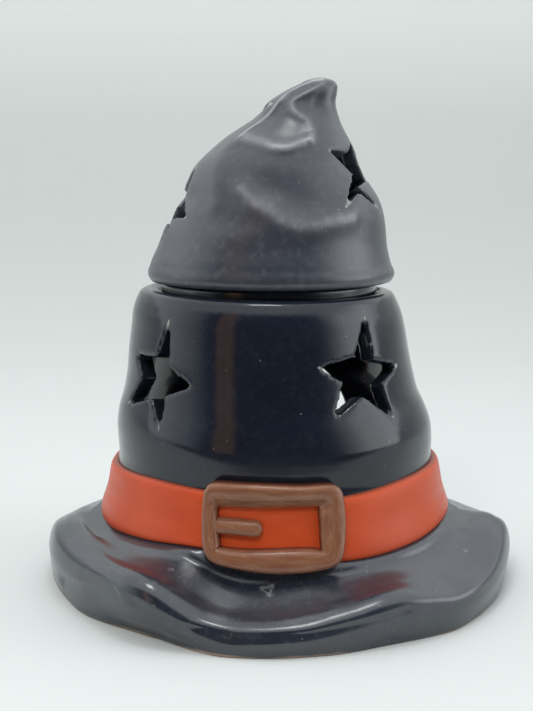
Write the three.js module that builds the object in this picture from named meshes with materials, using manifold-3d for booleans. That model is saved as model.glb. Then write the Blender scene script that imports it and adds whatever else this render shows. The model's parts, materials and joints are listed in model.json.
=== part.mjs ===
// A wax burner in the shape of a witch hat. A brim carries a hearth, a crown stands on it with
// star windows and an arch at the back, a wax dish hangs in the crown's mouth, and the crooked
// tip is the lid. A band with a buckle goes round the crown, and a tealight stands on the hearth.
// Millimetres, +Z up, the front towards -Y, the origin on the table under the middle of the brim.
// An azimuth is 0 at the front and grows towards +X.
import * as THREE from 'three';
import { mergeVertices } from 'three/addons/utils/BufferGeometryUtils.js';
import Module from 'manifold-3d';

const wasm = await Module();
wasm.setup();

// Driving dimensions
const hearthHeight = 17; // the hearth, and the crown's foot, above the table
const hearthThickness = 5;
const crownHeight = 75.7; // from the hearth to the rim
const crownRadius = 51.5; // the widest part above the band
const crownLean = -2.7; // how far the shoulder leans from the hearth's axis
const crownRipple = 0.6; // soft folds round the crown
const crownWall = 6;
const rimTilt = 0.7; // the rim is higher on the left
const seatGap = 0.3; // between pieces that rest on each other
const brimWidth = 21; // from the crown's foot to the wall's widest place
const valleyWidth = 3.5; // from the crown's foot to the valley round it
const shelfWidth = 5.9; // from the crown's foot to the brim's shelf
const shelfRise = 4; // the shelf above or below the hearth
const footWidth = 6; // the ring that stands on the table
const footRound = 0.9; // the ring's outer edge

// The crown from its foot to its rim: shares of its height, its radius, its lean and its tilt
const crownShares = [
  [0, 1.095, 0, 0],
  [0.066, 1.076, 0, 0],
  [0.153, 1.035, 0, 0],
  [0.225, 1.014, 0, 0],
  [0.291, 0.998, 0, 0],
  [0.363, 1, 0.02, 0],
  [0.436, 0.996, 0.15, 0],
  [0.502, 0.971, 0.37, 0],
  [0.568, 0.934, 0.55, 0],
  [0.647, 0.907, 0.63, 0],
  [0.753, 0.882, 0.78, 0],
  [0.845, 0.86, 0.85, 0.1],
  [0.925, 0.835, 1, 0.4],
  [0.967, 0.808, 1, 0.8],
  [0.991, 0.7825, 0.9, 1],
  [1, 0.755, 0.75, 1],
];
const rimRadiusShare = crownShares.at(-1)[1];
const mouthX = crownLean * crownShares.at(-1)[2];
const footOutShare = crownShares[0][1];

// The mouth: a rebate inside the rim, and a ledge that carries the dish
const rimLand = 3.7; // the flat top of the rim
const rebateDepth = 4.7;
const ledgeWidth = 4.2;
const ledgeThickness = 3.5;
const rimHeight = hearthHeight + crownHeight;
const ledgeHeight = rimHeight - rebateDepth;
const rebateRadius = crownRadius * rimRadiusShare - rimLand;
const mouthRadius = rebateRadius - ledgeWidth;
const rimRoundShare = 0.3; // of the rim's flat top
const shoulderShare = 0.83; // where the crown's inner face ends, under the ledge

// The dish, hung by its flange
const dishClearance = 0.6; // round the flange and round the bowl
const flangeHeight = 6.6;
const flangeThickness = 2.6; // the upstand's wall
const bowlThickness = 4;
const dishDepth = 18.9; // from the flange's top to the foot
const dishFootRadius = 20;
const dishShares = { heel: 0.12, side: 0.4, innerSide: 0.45, floorRise: 0.04 }; // of its depth
const flangeBottom = ledgeHeight + seatGap;
const flangeTop = flangeBottom + flangeHeight;
const flangeRadius = rebateRadius - dishClearance;
const dishInnerRadius = flangeRadius - flangeThickness;

// The tip, a lid that stands on the dish's flange
const tipHeight = 63.9;
const tipLean = 17.6; // from the mouth's axis to the point
const tipOverhang = 0.6; // past the rim
const tipWall = 5;
const ringThickness = 2.5; // the locating ring under the tip
const ringDepth = 2.5;
const ringClearance = 0.4;
const ringRise = 3.3; // the straight wall above the tip's seat
const hollowShares = { from: 0.13, to: 0.85 }; // where the inner face follows the outer one
const tipSeat = flangeTop + seatGap;
const tipRadius = crownRadius * rimRadiusShare + tipOverhang;

// The tip from its seat to its point: shares of its height, its radius and its lean
const tipShares = [
  [0, 0.972, 0.04],
  [0.028, 1, 0.04],
  [0.095, 0.974, 0.028],
  [0.174, 0.93, 0.0625],
  [0.254, 0.895, 0.114],
  [0.332, 0.846, 0.18],
  [0.412, 0.787, 0.21],
  [0.49, 0.729, 0.16],
  [0.568, 0.661, 0.148],
  [0.646, 0.577, 0.233],
  [0.725, 0.473, 0.318],
  [0.803, 0.357, 0.4545],
  [0.88, 0.278, 0.551],
  [0.93, 0.21, 0.67],
  [0.97, 0.116, 0.864],
  [1, 0, 1],
];

// Dents and folds of the tip: azimuth, height share, reach in degrees, reach as a height share,
// and depth as a share of the fold's own depth, where below 0 is a dent
const foldDepth = 2;
const foldShares = [
  [-6, 0.756, 17, 0.062, -1.1],
  [35, 0.873, 25, 0.047, -0.6],
  [-20, 0.385, 12, 0.045, 0.6],
  [12, 0.302, 20, 0.044, 0.85],
  [0, 0.47, 22, 0.07, -0.85],
  [24, 0.2, 22, 0.055, -0.5],
  [-46, 0.53, 9, 0.09, 0.45],
  [150, 0.33, 24, 0.05, 0.8],
  [185, 0.55, 26, 0.07, -0.9],
  [-150, 0.26, 24, 0.06, -0.6],
  [110, 0.68, 20, 0.06, 0.5],
];

// The brim round the hat: the azimuth; the foot, the wall and the crest as shares of the brim's
// width; the crest's height as a share of the hearth's; the shelf as a share of its rise
const brimShares = [
  [-180, 0.87, 0.92, 0.75, 0.53, -0.45],
  [-155, 0.85, 0.91, 0.72, 0.54, -0.5],
  [-130, 0.83, 0.9, 0.69, 0.59, -0.45],
  [-112, 0.81, 0.88, 0.66, 0.69, -0.2],
  [-100, 0.8, 0.86, 0.64, 0.81, 0.1],
  [-90, 0.8, 0.86, 0.63, 0.96, 0.47],
  [-80, 0.8, 0.86, 0.63, 1.13, 0.85],
  [-72, 0.78, 0.87, 0.63, 1.18, 1.05],
  [-62, 0.77, 0.88, 0.64, 1.16, 1.08],
  [-52, 0.8, 0.9, 0.66, 1.12, 0.95],
  [-41, 0.76, 0.88, 0.7, 1.06, 1],
  [-33, 0.71, 0.85, 0.72, 1, 1],
  [-27, 0.75, 0.86, 0.75, 0.91, 0.83],
  [-22, 0.83, 0.91, 0.78, 0.77, 0.47],
  [-17, 0.91, 0.97, 0.84, 0.6, -0.05],
  [-12, 0.98, 1.02, 0.88, 0.5, -0.48],
  [-5, 0.98, 1.03, 0.9, 0.47, -0.55],
  [3, 0.96, 1.02, 0.89, 0.47, -0.5],
  [8, 0.94, 1, 0.87, 0.52, -0.48],
  [12, 0.94, 1, 0.85, 0.6, -0.45],
  [17, 0.91, 0.98, 0.83, 0.7, -0.38],
  [23, 0.88, 0.96, 0.81, 0.78, -0.1],
  [28, 0.89, 0.97, 0.81, 0.83, 0.03],
  [35, 0.93, 1.02, 0.82, 0.91, 0.25],
  [41, 0.99, 1.05, 0.83, 0.98, 0.45],
  [47, 0.96, 1.04, 0.81, 1.04, 0.6],
  [54, 0.93, 1.02, 0.79, 1.09, 0.75],
  [62, 0.91, 1, 0.76, 1.14, 0.95],
  [70, 0.89, 0.99, 0.75, 1.18, 1.08],
  [79, 0.87, 0.99, 0.74, 1.16, 0.95],
  [90, 0.87, 0.98, 0.73, 0.97, 0.47],
  [100, 0.87, 0.97, 0.73, 0.81, 0.1],
  [112, 0.87, 0.97, 0.73, 0.69, -0.2],
  [130, 0.89, 0.97, 0.74, 0.59, -0.45],
  [155, 0.89, 0.96, 0.75, 0.54, -0.5],
];

// The brim's section: shares of the shelf's rise, of the way from the crest out to the wall, of
// the crest's height, and of the hearth's underside
const brimSectionShares = {
  valley: 0.19,
  bow: 0.12,
  shoulderIn: 0.3,
  shoulderRise: 0.1,
  lipOut: 0.08,
  rollOut: 0.58,
  rollDrop: 0.32,
  wallHigh: 0.62,
  wallLow: 0.36,
  heel: 0.12,
  underside: 0.7,
};

// The band, at equal steps of azimuth from the front: its lower and upper edge as shares of its
// height, over its lift
const bandLift = 3.2; // the band's lower edge above the hearth
const bandHeight = 18;
const bandThickness = 1.8;
const bandShares = [
  [0, 0.93],
  [-0.06, 0.93],
  [-0.03, 1],
  [0.04, 1.01],
  [0.04, 0.97],
  [0.03, 0.96],
  [0, 0.95],
  [-0.02, 0.95],
  [-0.02, 0.95],
  [-0.02, 0.95],
  [0.02, 0.96],
  [0.04, 0.95],
  [0.02, 0.9],
  [-0.04, 0.97],
  [0.05, 1.04],
  [0.13, 1.02],
];

// The buckle, over the band at the front
const buckleWidth = 37.6;
const buckleHeight = 24;
const buckleCorner = 4;
const buckleDepth = 3.2;
const buckleLift = 1.3; // above the hearth
const buckleShift = -0.65; // off the centre line
const windowCorner = 1.2;
const barShares = { left: 0.1, right: 0.185, bottom: 0.215, top: 0.285 };
const buckleEdgeShare = 0.6; // of its depth, where its edges begin to round
const buckleFlatShares = [0.22, 0.78]; // of a bar's width
const prongReachShare = 0.44; // of the window's width
const prongLiftShare = 0.54; // of the window's height
const prongHeight = 4.2;
const prongDepth = 2.4;
const prongEdgeShare = 0.6; // of its depth, and of its half height

// Star windows: azimuth, height share, and the outline as shares of the star's radius
const crownStarRadius = 16.7;
const tipStarRadius = 14;
const cutOverrun = 1;
const starSagShare = 0.25; // of its radius, for the wall that curves away from it
const rightStarShares = [
  [-0.07, 1.02], [-0.35, 0.35], [-0.93, 0.25], [-0.45, -0.04], [-0.65, -0.66],
  [-0.03, -0.31], [0.76, -0.82], [0.32, -0.14], [0.89, 0.13], [0.15, 0.27],
];
const leftStarShares = [
  [0.45, 1.01], [0.1, 0.4], [-0.61, 0.48], [-0.25, 0], [-0.93, -0.57],
  [-0.03, -0.33], [0.21, -0.9], [0.4, -0.2], [0.98, 0.02], [0.46, 0.32],
];
const tipStarShares = [
  [0.43, 0.8], [-0.07, 0.42], [-0.93, 0.57], [-0.36, 0.05], [-0.86, -0.64],
  [-0.2, -0.36], [0.25, -0.8], [0.22, -0.27], [1, 0.07], [0.34, 0.2],
];
const crownStars = [
  { azimuth: 34.6, heightShare: 0.6975, turn: 0, outlineShares: rightStarShares },
  { azimuth: -51, heightShare: 0.668, turn: 0, outlineShares: leftStarShares },
];
const tipStars = [
  { azimuth: 64, heightShare: 0.513, turn: 0, outlineShares: tipStarShares },
  { azimuth: -85, heightShare: 0.372, turn: -6, outlineShares: tipStarShares },
  { azimuth: -135, heightShare: 0.7, turn: -30, outlineShares: tipStarShares },
];

// The tealight and the arch that it comes in by
const tealightRadius = 19;
const tealightHeight = 16;
const foil = 0.4; // thickness of the cup and the tab
const cupRoll = 0.8; // the cup's rolled edge
const waxLevelShare = 0.82; // of the cup's height
const waxSink = 0.8; // how far the wax sinks towards the wick
const tabRadius = 6;
const collarHeight = 2.4; // the tab's collar, which grips the wick
const collarThickness = 0.5;
const wickRadius = 0.8;
const wickStand = 5; // the wick above the wax
const archClearance = 8; // each side of the tealight
const archHeight = 49; // above the hearth
const archRadius = tealightRadius + archClearance;

// Steps round the pieces
const crownSteps = 48;
const tipSteps = 44;
const brimSteps = 80;
const dishSteps = 36;
const tealightSteps = 24;

const degrees = Math.PI / 180;

// Smooth curve through four neighbouring rows of values, t from the second to the third
function blendRows(a, b, c, d, t) {
  return b.map((value, i) => {
    const pull = c[i] - a[i];
    const bend = 2 * a[i] - 5 * value + 4 * c[i] - d[i];
    const turn = 3 * (value - c[i]) + d[i] - a[i];
    return value + (t * (pull + t * (bend + t * turn))) / 2;
  });
}

// Row of values at an azimuth, from rows at equal steps round the hat
function roundRow(rows, azimuth) {
  const place = ((azimuth / 360) % 1 + 1) % 1 * rows.length;
  const first = Math.floor(place);
  const at = (i) => rows[(i + rows.length) % rows.length];
  return blendRows(at(first - 1), at(first), at(first + 1), at(first + 2), place - first);
}

// Row of values at an azimuth, from rows that start with theirs
function turnRow(rows, azimuth) {
  const turn = (((azimuth + 180) % 360) + 360) % 360 - 180;
  const count = rows.length;
  const next = rows.findIndex((row) => row[0] > turn);
  const first = (next < 0 ? count : next) - 1;
  const at = (i) => rows[(i + count) % count];
  const gap = (((at(first + 1)[0] - at(first)[0]) % 360) + 360) % 360;
  return blendRows(at(first - 1), at(first), at(first + 1), at(first + 2), (turn - at(first)[0]) / gap);
}

// Row of values at a height share, from rows that start with theirs
function heightRow(rows, share) {
  let first = rows.findIndex((row) => row[0] > share) - 1;
  if (first < 0) first = rows.length - 2;
  const at = (i) => rows[Math.min(Math.max(i, 0), rows.length - 1)];
  const t = (share - at(first)[0]) / (at(first + 1)[0] - at(first)[0]);
  return at(first).map((value, i) => value + t * (at(first + 1)[i] - value));
}

const bandBase = hearthHeight + bandLift;
const heightToShare = (height) => (height - hearthHeight) / crownHeight;

function pointAt(azimuth, radius, centreX, height) {
  const angle = azimuth * degrees;
  return new THREE.Vector3(centreX + radius * Math.sin(angle), -radius * Math.cos(angle), height);
}

// The crown's outer face, or a face that lies inset from it
function crownPoint(azimuth, share, inset = 0) {
  const [, radiusShare, leanShare, tiltShare] = heightRow(crownShares, share);
  const fade = Math.min(1, (1 - share) / crownShares[1][0]);
  const ripple = crownRipple * Math.cos(3 * azimuth * degrees) * fade;
  const tilt = -rimTilt * tiltShare * Math.sin(azimuth * degrees);
  const height = hearthHeight + share * crownHeight + tilt;
  return pointAt(azimuth, crownRadius * radiusShare + ripple - inset, crownLean * leanShare, height);
}

function foldAt(azimuth, share) {
  return foldShares.reduce((sum, [centre, centreShare, reach, reachShare, depthShare]) => {
    const across = (((azimuth - centre) % 360) + 540) % 360 - 180;
    const along = share - centreShare;
    const fall = (across / reach) ** 2 + (along / reachShare) ** 2;
    return sum + foldDepth * depthShare * Math.exp(-fall);
  }, 0);
}

// The tip's outer face, or a face that lies inset from it
function tipPoint(azimuth, share, inset = 0) {
  const [, radiusShare, leanShare] = heightRow(tipShares, share);
  const fade = Math.min(1, radiusShare / tipShares.at(-4)[1]);
  const radius = tipRadius * radiusShare + foldAt(azimuth, share) * fade - inset;
  return pointAt(azimuth, radius, mouthX + tipLean * leanShare, tipSeat + share * tipHeight);
}

// Closed solid from rings of points; a first or last entry may be a single point, and rings
// with no point at either end close on each other
function ringSolid(rings) {
  const positions = [];
  const starts = rings.map((ring) => {
    const start = positions.length / 3;
    ring.forEach((point) => positions.push(point.x, point.y, point.z));
    return start;
  });
  const indices = [];
  const isOpen = rings[0].length > 1 && rings.at(-1).length > 1;
  const last = isOpen ? rings.length : rings.length - 1;
  for (let r = 0; r < last; r += 1) {
    const next = (r + 1) % rings.length;
    const count = Math.max(rings[r].length, rings[next].length);
    for (let i = 0; i < count; i += 1) {
      const j = (i + 1) % count;
      const low = (k) => starts[r] + (rings[r].length > 1 ? k : 0);
      const high = (k) => starts[next] + (rings[next].length > 1 ? k : 0);
      if (rings[r].length > 1) indices.push(low(i), low(j), high(j));
      if (rings[next].length > 1) indices.push(low(i), high(j), high(i));
    }
  }
  return facingOut(solidGeometry(positions, indices));
}

// Closed solid from equal outlines in a row, with flat ends
function rowSolid(outlines) {
  const middle = (outline) => [
    outline.reduce((sum, p) => sum.add(p), new THREE.Vector3()).divideScalar(outline.length),
  ];
  return ringSolid([middle(outlines[0]), ...outlines, middle(outlines.at(-1))]);
}

function solidGeometry(positions, indices) {
  const geometry = new THREE.BufferGeometry();
  geometry.setAttribute('position', new THREE.Float32BufferAttribute(positions, 3));
  geometry.setIndex(indices);
  return geometry;
}

function facingOut(geometry) {
  const place = geometry.getAttribute('position');
  const index = geometry.getIndex().array;
  const corner = [0, 1, 2].map(() => new THREE.Vector3());
  let volume = 0;
  for (let i = 0; i < index.length; i += 3) {
    corner.forEach((point, k) => point.fromBufferAttribute(place, index[i + k]));
    volume += corner[0].dot(corner[1].clone().cross(corner[2]));
  }
  if (volume < 0) geometry.setIndex(Array.from(index).reverse());
  return geometry;
}

// Solid turned about an upright axis, from a closed profile of radius and height
function turned(profile, steps, centreX = 0) {
  const outline = profile.map(([radius, height]) => new THREE.Vector2(radius, height));
  const geometry = new THREE.LatheGeometry(outline, steps);
  return facingOut(plain(geometry.rotateX(Math.PI / 2).translate(centreX, 0, 0)));
}

function plain(geometry) {
  geometry.deleteAttribute('normal');
  geometry.deleteAttribute('uv');
  return mergeVertices(geometry);
}

function toManifold(geometry) {
  return new wasm.Manifold(new wasm.Mesh({
    numProp: 3,
    vertProperties: new Float32Array(geometry.getAttribute('position').array),
    triVerts: new Uint32Array(geometry.getIndex().array),
  }));
}

function cutAway(geometry, cutters) {
  const left = cutters.reduce((solid, cutter) => solid.subtract(toManifold(cutter)), toManifold(geometry));
  const mesh = left.getMesh();
  return solidGeometry(Array.from(mesh.vertProperties), Array.from(mesh.triVerts));
}

function allRound(steps, pointOf) {
  return Array.from({ length: steps }, (_, i) => pointOf((i * 360) / steps));
}

// Star-shaped plug along the normal of a surface, from just outside it to well inside the wall
function starCutter(surface, star, radius, wall) {
  const stepShare = 0.01;
  const centre = surface(star.azimuth, star.heightShare);
  const across = surface(star.azimuth + 1, star.heightShare).sub(surface(star.azimuth - 1, star.heightShare));
  const up = surface(star.azimuth, star.heightShare + stepShare);
  up.sub(surface(star.azimuth, star.heightShare - stepShare));
  across.normalize();
  const out = across.clone().cross(up).normalize();
  up.crossVectors(out, across);
  const sag = radius * starSagShare;
  const inward = wall + sag + cutOverrun;
  const points = star.outlineShares.map(([x, y]) => new THREE.Vector2(x * radius, y * radius)
    .rotateAround(new THREE.Vector2(), star.turn * degrees));
  const depth = inward + sag + cutOverrun;
  const geometry = new THREE.ExtrudeGeometry(new THREE.Shape(points), { depth, bevelEnabled: false });
  const place = new THREE.Matrix4().makeBasis(across, up, out);
  place.setPosition(centre.addScaledVector(out, -inward));
  return plain(geometry.applyMatrix4(place));
}

// The arch's plug, along Y through the back wall
function archCutter() {
  const spring = archHeight - archRadius;
  const shape = new THREE.Shape();
  shape.moveTo(-archRadius, -cutOverrun);
  shape.lineTo(archRadius, -cutOverrun);
  shape.lineTo(archRadius, spring);
  shape.absarc(0, spring, archRadius, 0, Math.PI);
  const depth = crownRadius * footOutShare;
  const curve = { depth, bevelEnabled: false, curveSegments: 14 };
  const geometry = new THREE.ExtrudeGeometry(shape, curve);
  geometry.rotateX(Math.PI / 2).translate(0, depth + archRadius, hearthHeight);
  return plain(geometry);
}

// The crown: outer face, rounded rim, rebate and ledge, then the inner face down to the foot
function crown() {
  const outer = crownShares.map(([share]) => allRound(crownSteps, (azimuth) => crownPoint(azimuth, share)));
  const mouth = (radius, height) => (
    allRound(crownSteps, (azimuth) => pointAt(azimuth, radius, mouthX, height)));
  const rimRound = rimLand * rimRoundShare;
  const mouthRings = [
    mouth(rebateRadius + rimRound, rimHeight - rimRound / 2),
    mouth(rebateRadius, rimHeight - 2 * rimRound),
    mouth(rebateRadius, ledgeHeight),
    mouth(mouthRadius, ledgeHeight),
    mouth(mouthRadius, ledgeHeight - ledgeThickness),
  ];
  const innerShares = crownShares.map(([share]) => share)
    .filter((share, i) => share < shoulderShare && i % 2 === 0);
  const inner = innerShares.reverse().map((share) => (
    allRound(crownSteps, (azimuth) => crownPoint(azimuth, share, crownWall))));
  const shell = ringSolid([...outer, ...mouthRings, ...inner]);
  const stars = crownStars.map((star) => starCutter(crownPoint, star, crownStarRadius, crownWall));
  return cutAway(shell, [archCutter(), ...stars]);
}

// The brim: hearth, the collar round the crown's foot, valley, shelf, crest and wall, then the
// ring it stands on and the recess inside the ring
function brim() {
  const shares = brimSectionShares;
  const underside = hearthHeight - hearthThickness;
  const section = (azimuth) => {
    const [, footShare, wallShare, crestOutShare, crestShare, riseShare] = turnRow(brimShares, azimuth);
    const crownFoot = crownRadius * footOutShare;
    const ripple = crownRipple * Math.cos(3 * azimuth * degrees);
    const foot = crownFoot + brimWidth * footShare;
    const wall = crownFoot + brimWidth * wallShare;
    const crestRadius = crownFoot + brimWidth * crestOutShare;
    const crest = hearthHeight * crestShare;
    const shelf = hearthHeight + shelfRise * riseShare;
    const bandLow = bandBase + bandHeight * roundRow(bandShares, azimuth)[0];
    const valley = Math.min(shelf + shelfRise * shares.valley, bandLow - seatGap);
    const collar = Math.max(valley, hearthHeight);
    const collarRadius = crownRadius * heightRow(crownShares, heightToShare(collar))[1] + ripple;
    const lip = wall - crestRadius;
    const middleRadius = (crownFoot + shelfWidth + crestRadius) / 2;
    const bow = shelfRise * shares.bow * Math.cos(azimuth * degrees);
    return [
      [crownFoot + ripple + seatGap + seatGap / 2, hearthHeight],
      [collarRadius + 2 * seatGap + seatGap / 2, collar],
      [crownFoot + valleyWidth, valley],
      [crownFoot + shelfWidth, shelf],
      [middleRadius, (shelf + crest) / 2 - bow],
      [crestRadius - lip * shares.shoulderIn, crest + shelfRise * shares.shoulderRise],
      [crestRadius + lip * shares.lipOut, crest],
      [crestRadius + lip * shares.rollOut, crest - lip * shares.rollDrop],
      [wall, crest * shares.wallHigh],
      [wall, crest * shares.wallLow],
      [foot, crest * shares.heel],
      [foot - footRound, 0],
      [foot - footRound - footWidth, 0],
      [crownFoot, underside * shares.underside],
      [crownFoot - footWidth, underside],
    ];
  };
  const rings = section(0).map((_, k) => allRound(brimSteps, (azimuth) => {
    const [radius, height] = section(azimuth)[k];
    return pointAt(azimuth, radius, 0, height);
  }));
  const top = [new THREE.Vector3(0, 0, hearthHeight)];
  const bottom = [new THREE.Vector3(0, 0, underside)];
  return ringSolid([top, ...rings, bottom]);
}

// The tip: outer face down from the point, the seat, the locating ring, then the inner face
function tip() {
  const outer = tipShares.slice(0, -1).map(([share]) => (
    allRound(tipSteps, (azimuth) => tipPoint(azimuth, share))));
  const ringOuter = dishInnerRadius - ringClearance;
  const ringInner = ringOuter - ringThickness;
  const ring = (radius, height) => allRound(tipSteps, (azimuth) => pointAt(azimuth, radius, mouthX, height));
  const seatRings = [
    ring(ringInner, tipSeat + ringRise),
    ring(ringInner, tipSeat - ringDepth),
    ring(ringOuter, tipSeat - ringDepth),
    ring(ringOuter, tipSeat),
  ];
  const innerShares = tipShares.map(([share]) => share)
    .filter((share) => share > hollowShares.from && share < hollowShares.to);
  const inner = innerShares.map((share) => (
    allRound(tipSteps, (azimuth) => tipPoint(azimuth, share, tipWall))));
  const roof = new THREE.Vector3();
  inner.at(-1).forEach((point) => roof.addScaledVector(point, 1 / tipSteps));
  roof.z += tipWall / 2;
  const shell = ringSolid([[roof], ...inner.reverse(), ...seatRings, ...outer, [tipPoint(0, 1)]]);
  return cutAway(shell, tipStars.map((star) => starCutter(tipPoint, star, tipStarRadius, tipWall)));
}

// The dish: a bowl with a flange that rests on the ledge and stands above the rim
function waxDish() {
  const bowlRadius = mouthRadius - dishClearance;
  const footHeight = flangeTop - dishDepth;
  const bowlFloor = footHeight + bowlThickness;
  return turned([
    [0, footHeight],
    [dishFootRadius, footHeight],
    [(dishFootRadius + bowlRadius) / 2 + bowlThickness / 2, footHeight + dishDepth * dishShares.heel],
    [bowlRadius, footHeight + dishDepth * dishShares.side],
    [bowlRadius, flangeBottom],
    [flangeRadius, flangeBottom],
    [flangeRadius, flangeTop],
    [dishInnerRadius, flangeTop],
    [dishInnerRadius, flangeBottom + seatGap],
    [bowlRadius - bowlThickness, flangeBottom - bowlThickness / 2],
    [bowlRadius - bowlThickness, footHeight + dishDepth * dishShares.innerSide],
    [dishFootRadius, bowlFloor + dishDepth * dishShares.floorRise],
    [0, bowlFloor],
  ], dishSteps, mouthX);
}

// A point over the crown at an azimuth, a height and a stand-off
function overCrown(azimuth, height, standOff) {
  return crownPoint(azimuth, heightToShare(height), -standOff);
}

// The band: one strip round the crown, open at the arch
function hatBand() {
  const archAzimuth = Math.asin((archRadius + cutOverrun) / (crownRadius * footOutShare)) / degrees;
  const half = 180 - archAzimuth;
  const steps = Array.from({ length: crownSteps }, (_, i) => (i * 360) / crownSteps - 180);
  const azimuths = [-half, ...steps.filter((azimuth) => Math.abs(azimuth) < half - 1), half];
  const sections = azimuths.map((azimuth) => {
    const [lowShare, highShare] = roundRow(bandShares, azimuth);
    const low = bandBase + bandHeight * lowShare;
    const high = bandBase + bandHeight * highShare;
    const face = seatGap + bandThickness;
    const round = bandThickness / 2;
    return [
      overCrown(azimuth, low, seatGap),
      overCrown(azimuth, (low + high) / 2, seatGap),
      overCrown(azimuth, high, seatGap),
      overCrown(azimuth, high, face - round),
      overCrown(azimuth, high - round, face),
      overCrown(azimuth, (low + high) / 2, face),
      overCrown(azimuth, low + round, face),
      overCrown(azimuth, low, face - round),
    ];
  });
  return rowSolid(sections);
}

// Rounded rectangle as points, each side and each corner in equal steps
function roundedOutline(left, right, bottom, top, corner) {
  const sideSteps = 5;
  const cornerSteps = 3;
  const corners = [
    [right - corner, bottom + corner, -90],
    [right - corner, top - corner, 0],
    [left + corner, top - corner, 90],
    [left + corner, bottom + corner, 180],
  ];
  const onCorner = ([x, y, start], k) => {
    const angle = (start + (90 * k) / cornerSteps) * degrees;
    return [x + corner * Math.cos(angle), y + corner * Math.sin(angle)];
  };
  return corners.flatMap((place, i) => {
    const arc = Array.from({ length: cornerSteps + 1 }, (_, k) => onCorner(place, k));
    const from = arc.at(-1);
    const to = onCorner(corners[(i + 1) % 4], 0);
    const side = Array.from({ length: sideSteps - 1 }, (_, k) => {
      const t = (k + 1) / sideSteps;
      return [from[0] + t * (to[0] - from[0]), from[1] + t * (to[1] - from[1])];
    });
    return [...arc, ...side];
  });
}

const buckleLow = hearthHeight + buckleLift;
const buckleLeft = buckleShift - buckleWidth / 2;
const buckleBack = 2 * seatGap + bandThickness;
const windowLeft = buckleLeft + buckleWidth * barShares.left;
const windowRight = buckleLeft + buckleWidth * (1 - barShares.right);
const windowLow = buckleLow + buckleHeight * barShares.bottom;
const windowHigh = buckleLow + buckleHeight * (1 - barShares.top);

// A point over the band at a distance round from the centre line
function overBand(along, height, standOff) {
  const azimuth = along / (crownRadius + buckleBack) / degrees;
  return overCrown(azimuth, height, buckleBack + standOff);
}

function buckleFrame() {
  const buckleHigh = buckleLow + buckleHeight;
  const outline = roundedOutline(buckleLeft, buckleLeft + buckleWidth, buckleLow, buckleHigh, buckleCorner);
  const opening = roundedOutline(windowLeft, windowRight, windowLow, windowHigh, windowCorner);
  const sections = outline.map(([x, z], i) => {
    const [windowX, windowZ] = opening[i];
    const between = (t, standOff) => (
      overBand(x + t * (windowX - x), z + t * (windowZ - z), standOff * buckleDepth));
    return [
      between(0, 0),
      between(0, buckleEdgeShare),
      between(buckleFlatShares[0], 1),
      between(buckleFlatShares[1], 1),
      between(1, buckleEdgeShare),
      between(1, 0),
    ];
  });
  const rings = sections[0].map((_, k) => sections.map((section) => section[k]));
  return ringSolid(rings);
}

// The prong: a flat bar from the window's left side, round at its end
function buckleProng() {
  const start = windowLeft + seatGap;
  const reach = (windowRight - windowLeft) * prongReachShare;
  const centre = windowLow + (windowHigh - windowLow) * prongLiftShare;
  const endShares = [[0, 1], [0.4, 1], [0.8, 0.97], [0.93, 0.75], [1, 0.35]];
  const sections = endShares.map(([share, halfShare]) => {
    const x = start + reach * share;
    const half = (prongHeight / 2) * halfShare;
    const top = prongDepth * (0.5 + halfShare / 2);
    return [
      overBand(x, centre - half, 0),
      overBand(x, centre - half, top * prongEdgeShare),
      overBand(x, centre - half * prongEdgeShare, top),
      overBand(x, centre + half * prongEdgeShare, top),
      overBand(x, centre + half, top * prongEdgeShare),
      overBand(x, centre + half, 0),
    ];
  });
  return rowSolid(sections);
}

// The tealight stands on the hearth; heights below are above its underside
const tealightBase = hearthHeight + seatGap;
const cupInner = tealightRadius - foil;
const waxBottom = foil + seatGap;
const waxTop = tealightHeight * waxLevelShare;
const tabBottom = waxBottom;
const collarRadius = wickRadius + seatGap + collarThickness;

function tealight(profile) {
  return turned(profile.map(([radius, height]) => [radius, tealightBase + height]), tealightSteps);
}

function tealightCup() {
  return tealight([
    [0, 0],
    [tealightRadius - cupRoll / 2, 0],
    [tealightRadius, cupRoll / 2],
    [tealightRadius, tealightHeight - cupRoll],
    [tealightRadius + cupRoll / 2, tealightHeight - cupRoll / 2],
    [tealightRadius, tealightHeight],
    [cupInner, tealightHeight - cupRoll / 2],
    [cupInner, foil],
    [0, foil],
  ]);
}

function tealightWax() {
  const outer = cupInner - seatGap;
  const pocketTop = tabBottom + foil + seatGap;
  const collarTop = tabBottom + collarHeight + seatGap;
  const bore = wickRadius + seatGap;
  return tealight([
    [tabRadius + seatGap, waxBottom],
    [outer, waxBottom],
    [outer, waxTop],
    [outer - waxSink, waxTop - waxSink / 4],
    [collarRadius + waxSink, waxTop - waxSink],
    [bore, waxTop - waxSink / 2],
    [bore, collarTop + seatGap],
    [collarRadius + seatGap, collarTop],
    [collarRadius + seatGap, pocketTop],
    [tabRadius + seatGap, pocketTop],
    [tabRadius + seatGap, waxBottom],
  ]);
}

function wickTab() {
  const bore = wickRadius + seatGap;
  return tealight([
    [0, tabBottom],
    [tabRadius, tabBottom],
    [tabRadius, tabBottom + foil],
    [collarRadius, tabBottom + foil],
    [collarRadius, tabBottom + collarHeight],
    [bore, tabBottom + collarHeight],
    [bore, tabBottom + foil],
    [0, tabBottom + foil],
  ]);
}

function tealightWick() {
  const bottom = tabBottom + foil + seatGap;
  const top = waxTop + wickStand;
  return tealight([
    [0, bottom],
    [wickRadius, bottom],
    [wickRadius, top - wickRadius],
    [wickRadius / 2, top],
    [0, top],
  ]);
}

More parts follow.
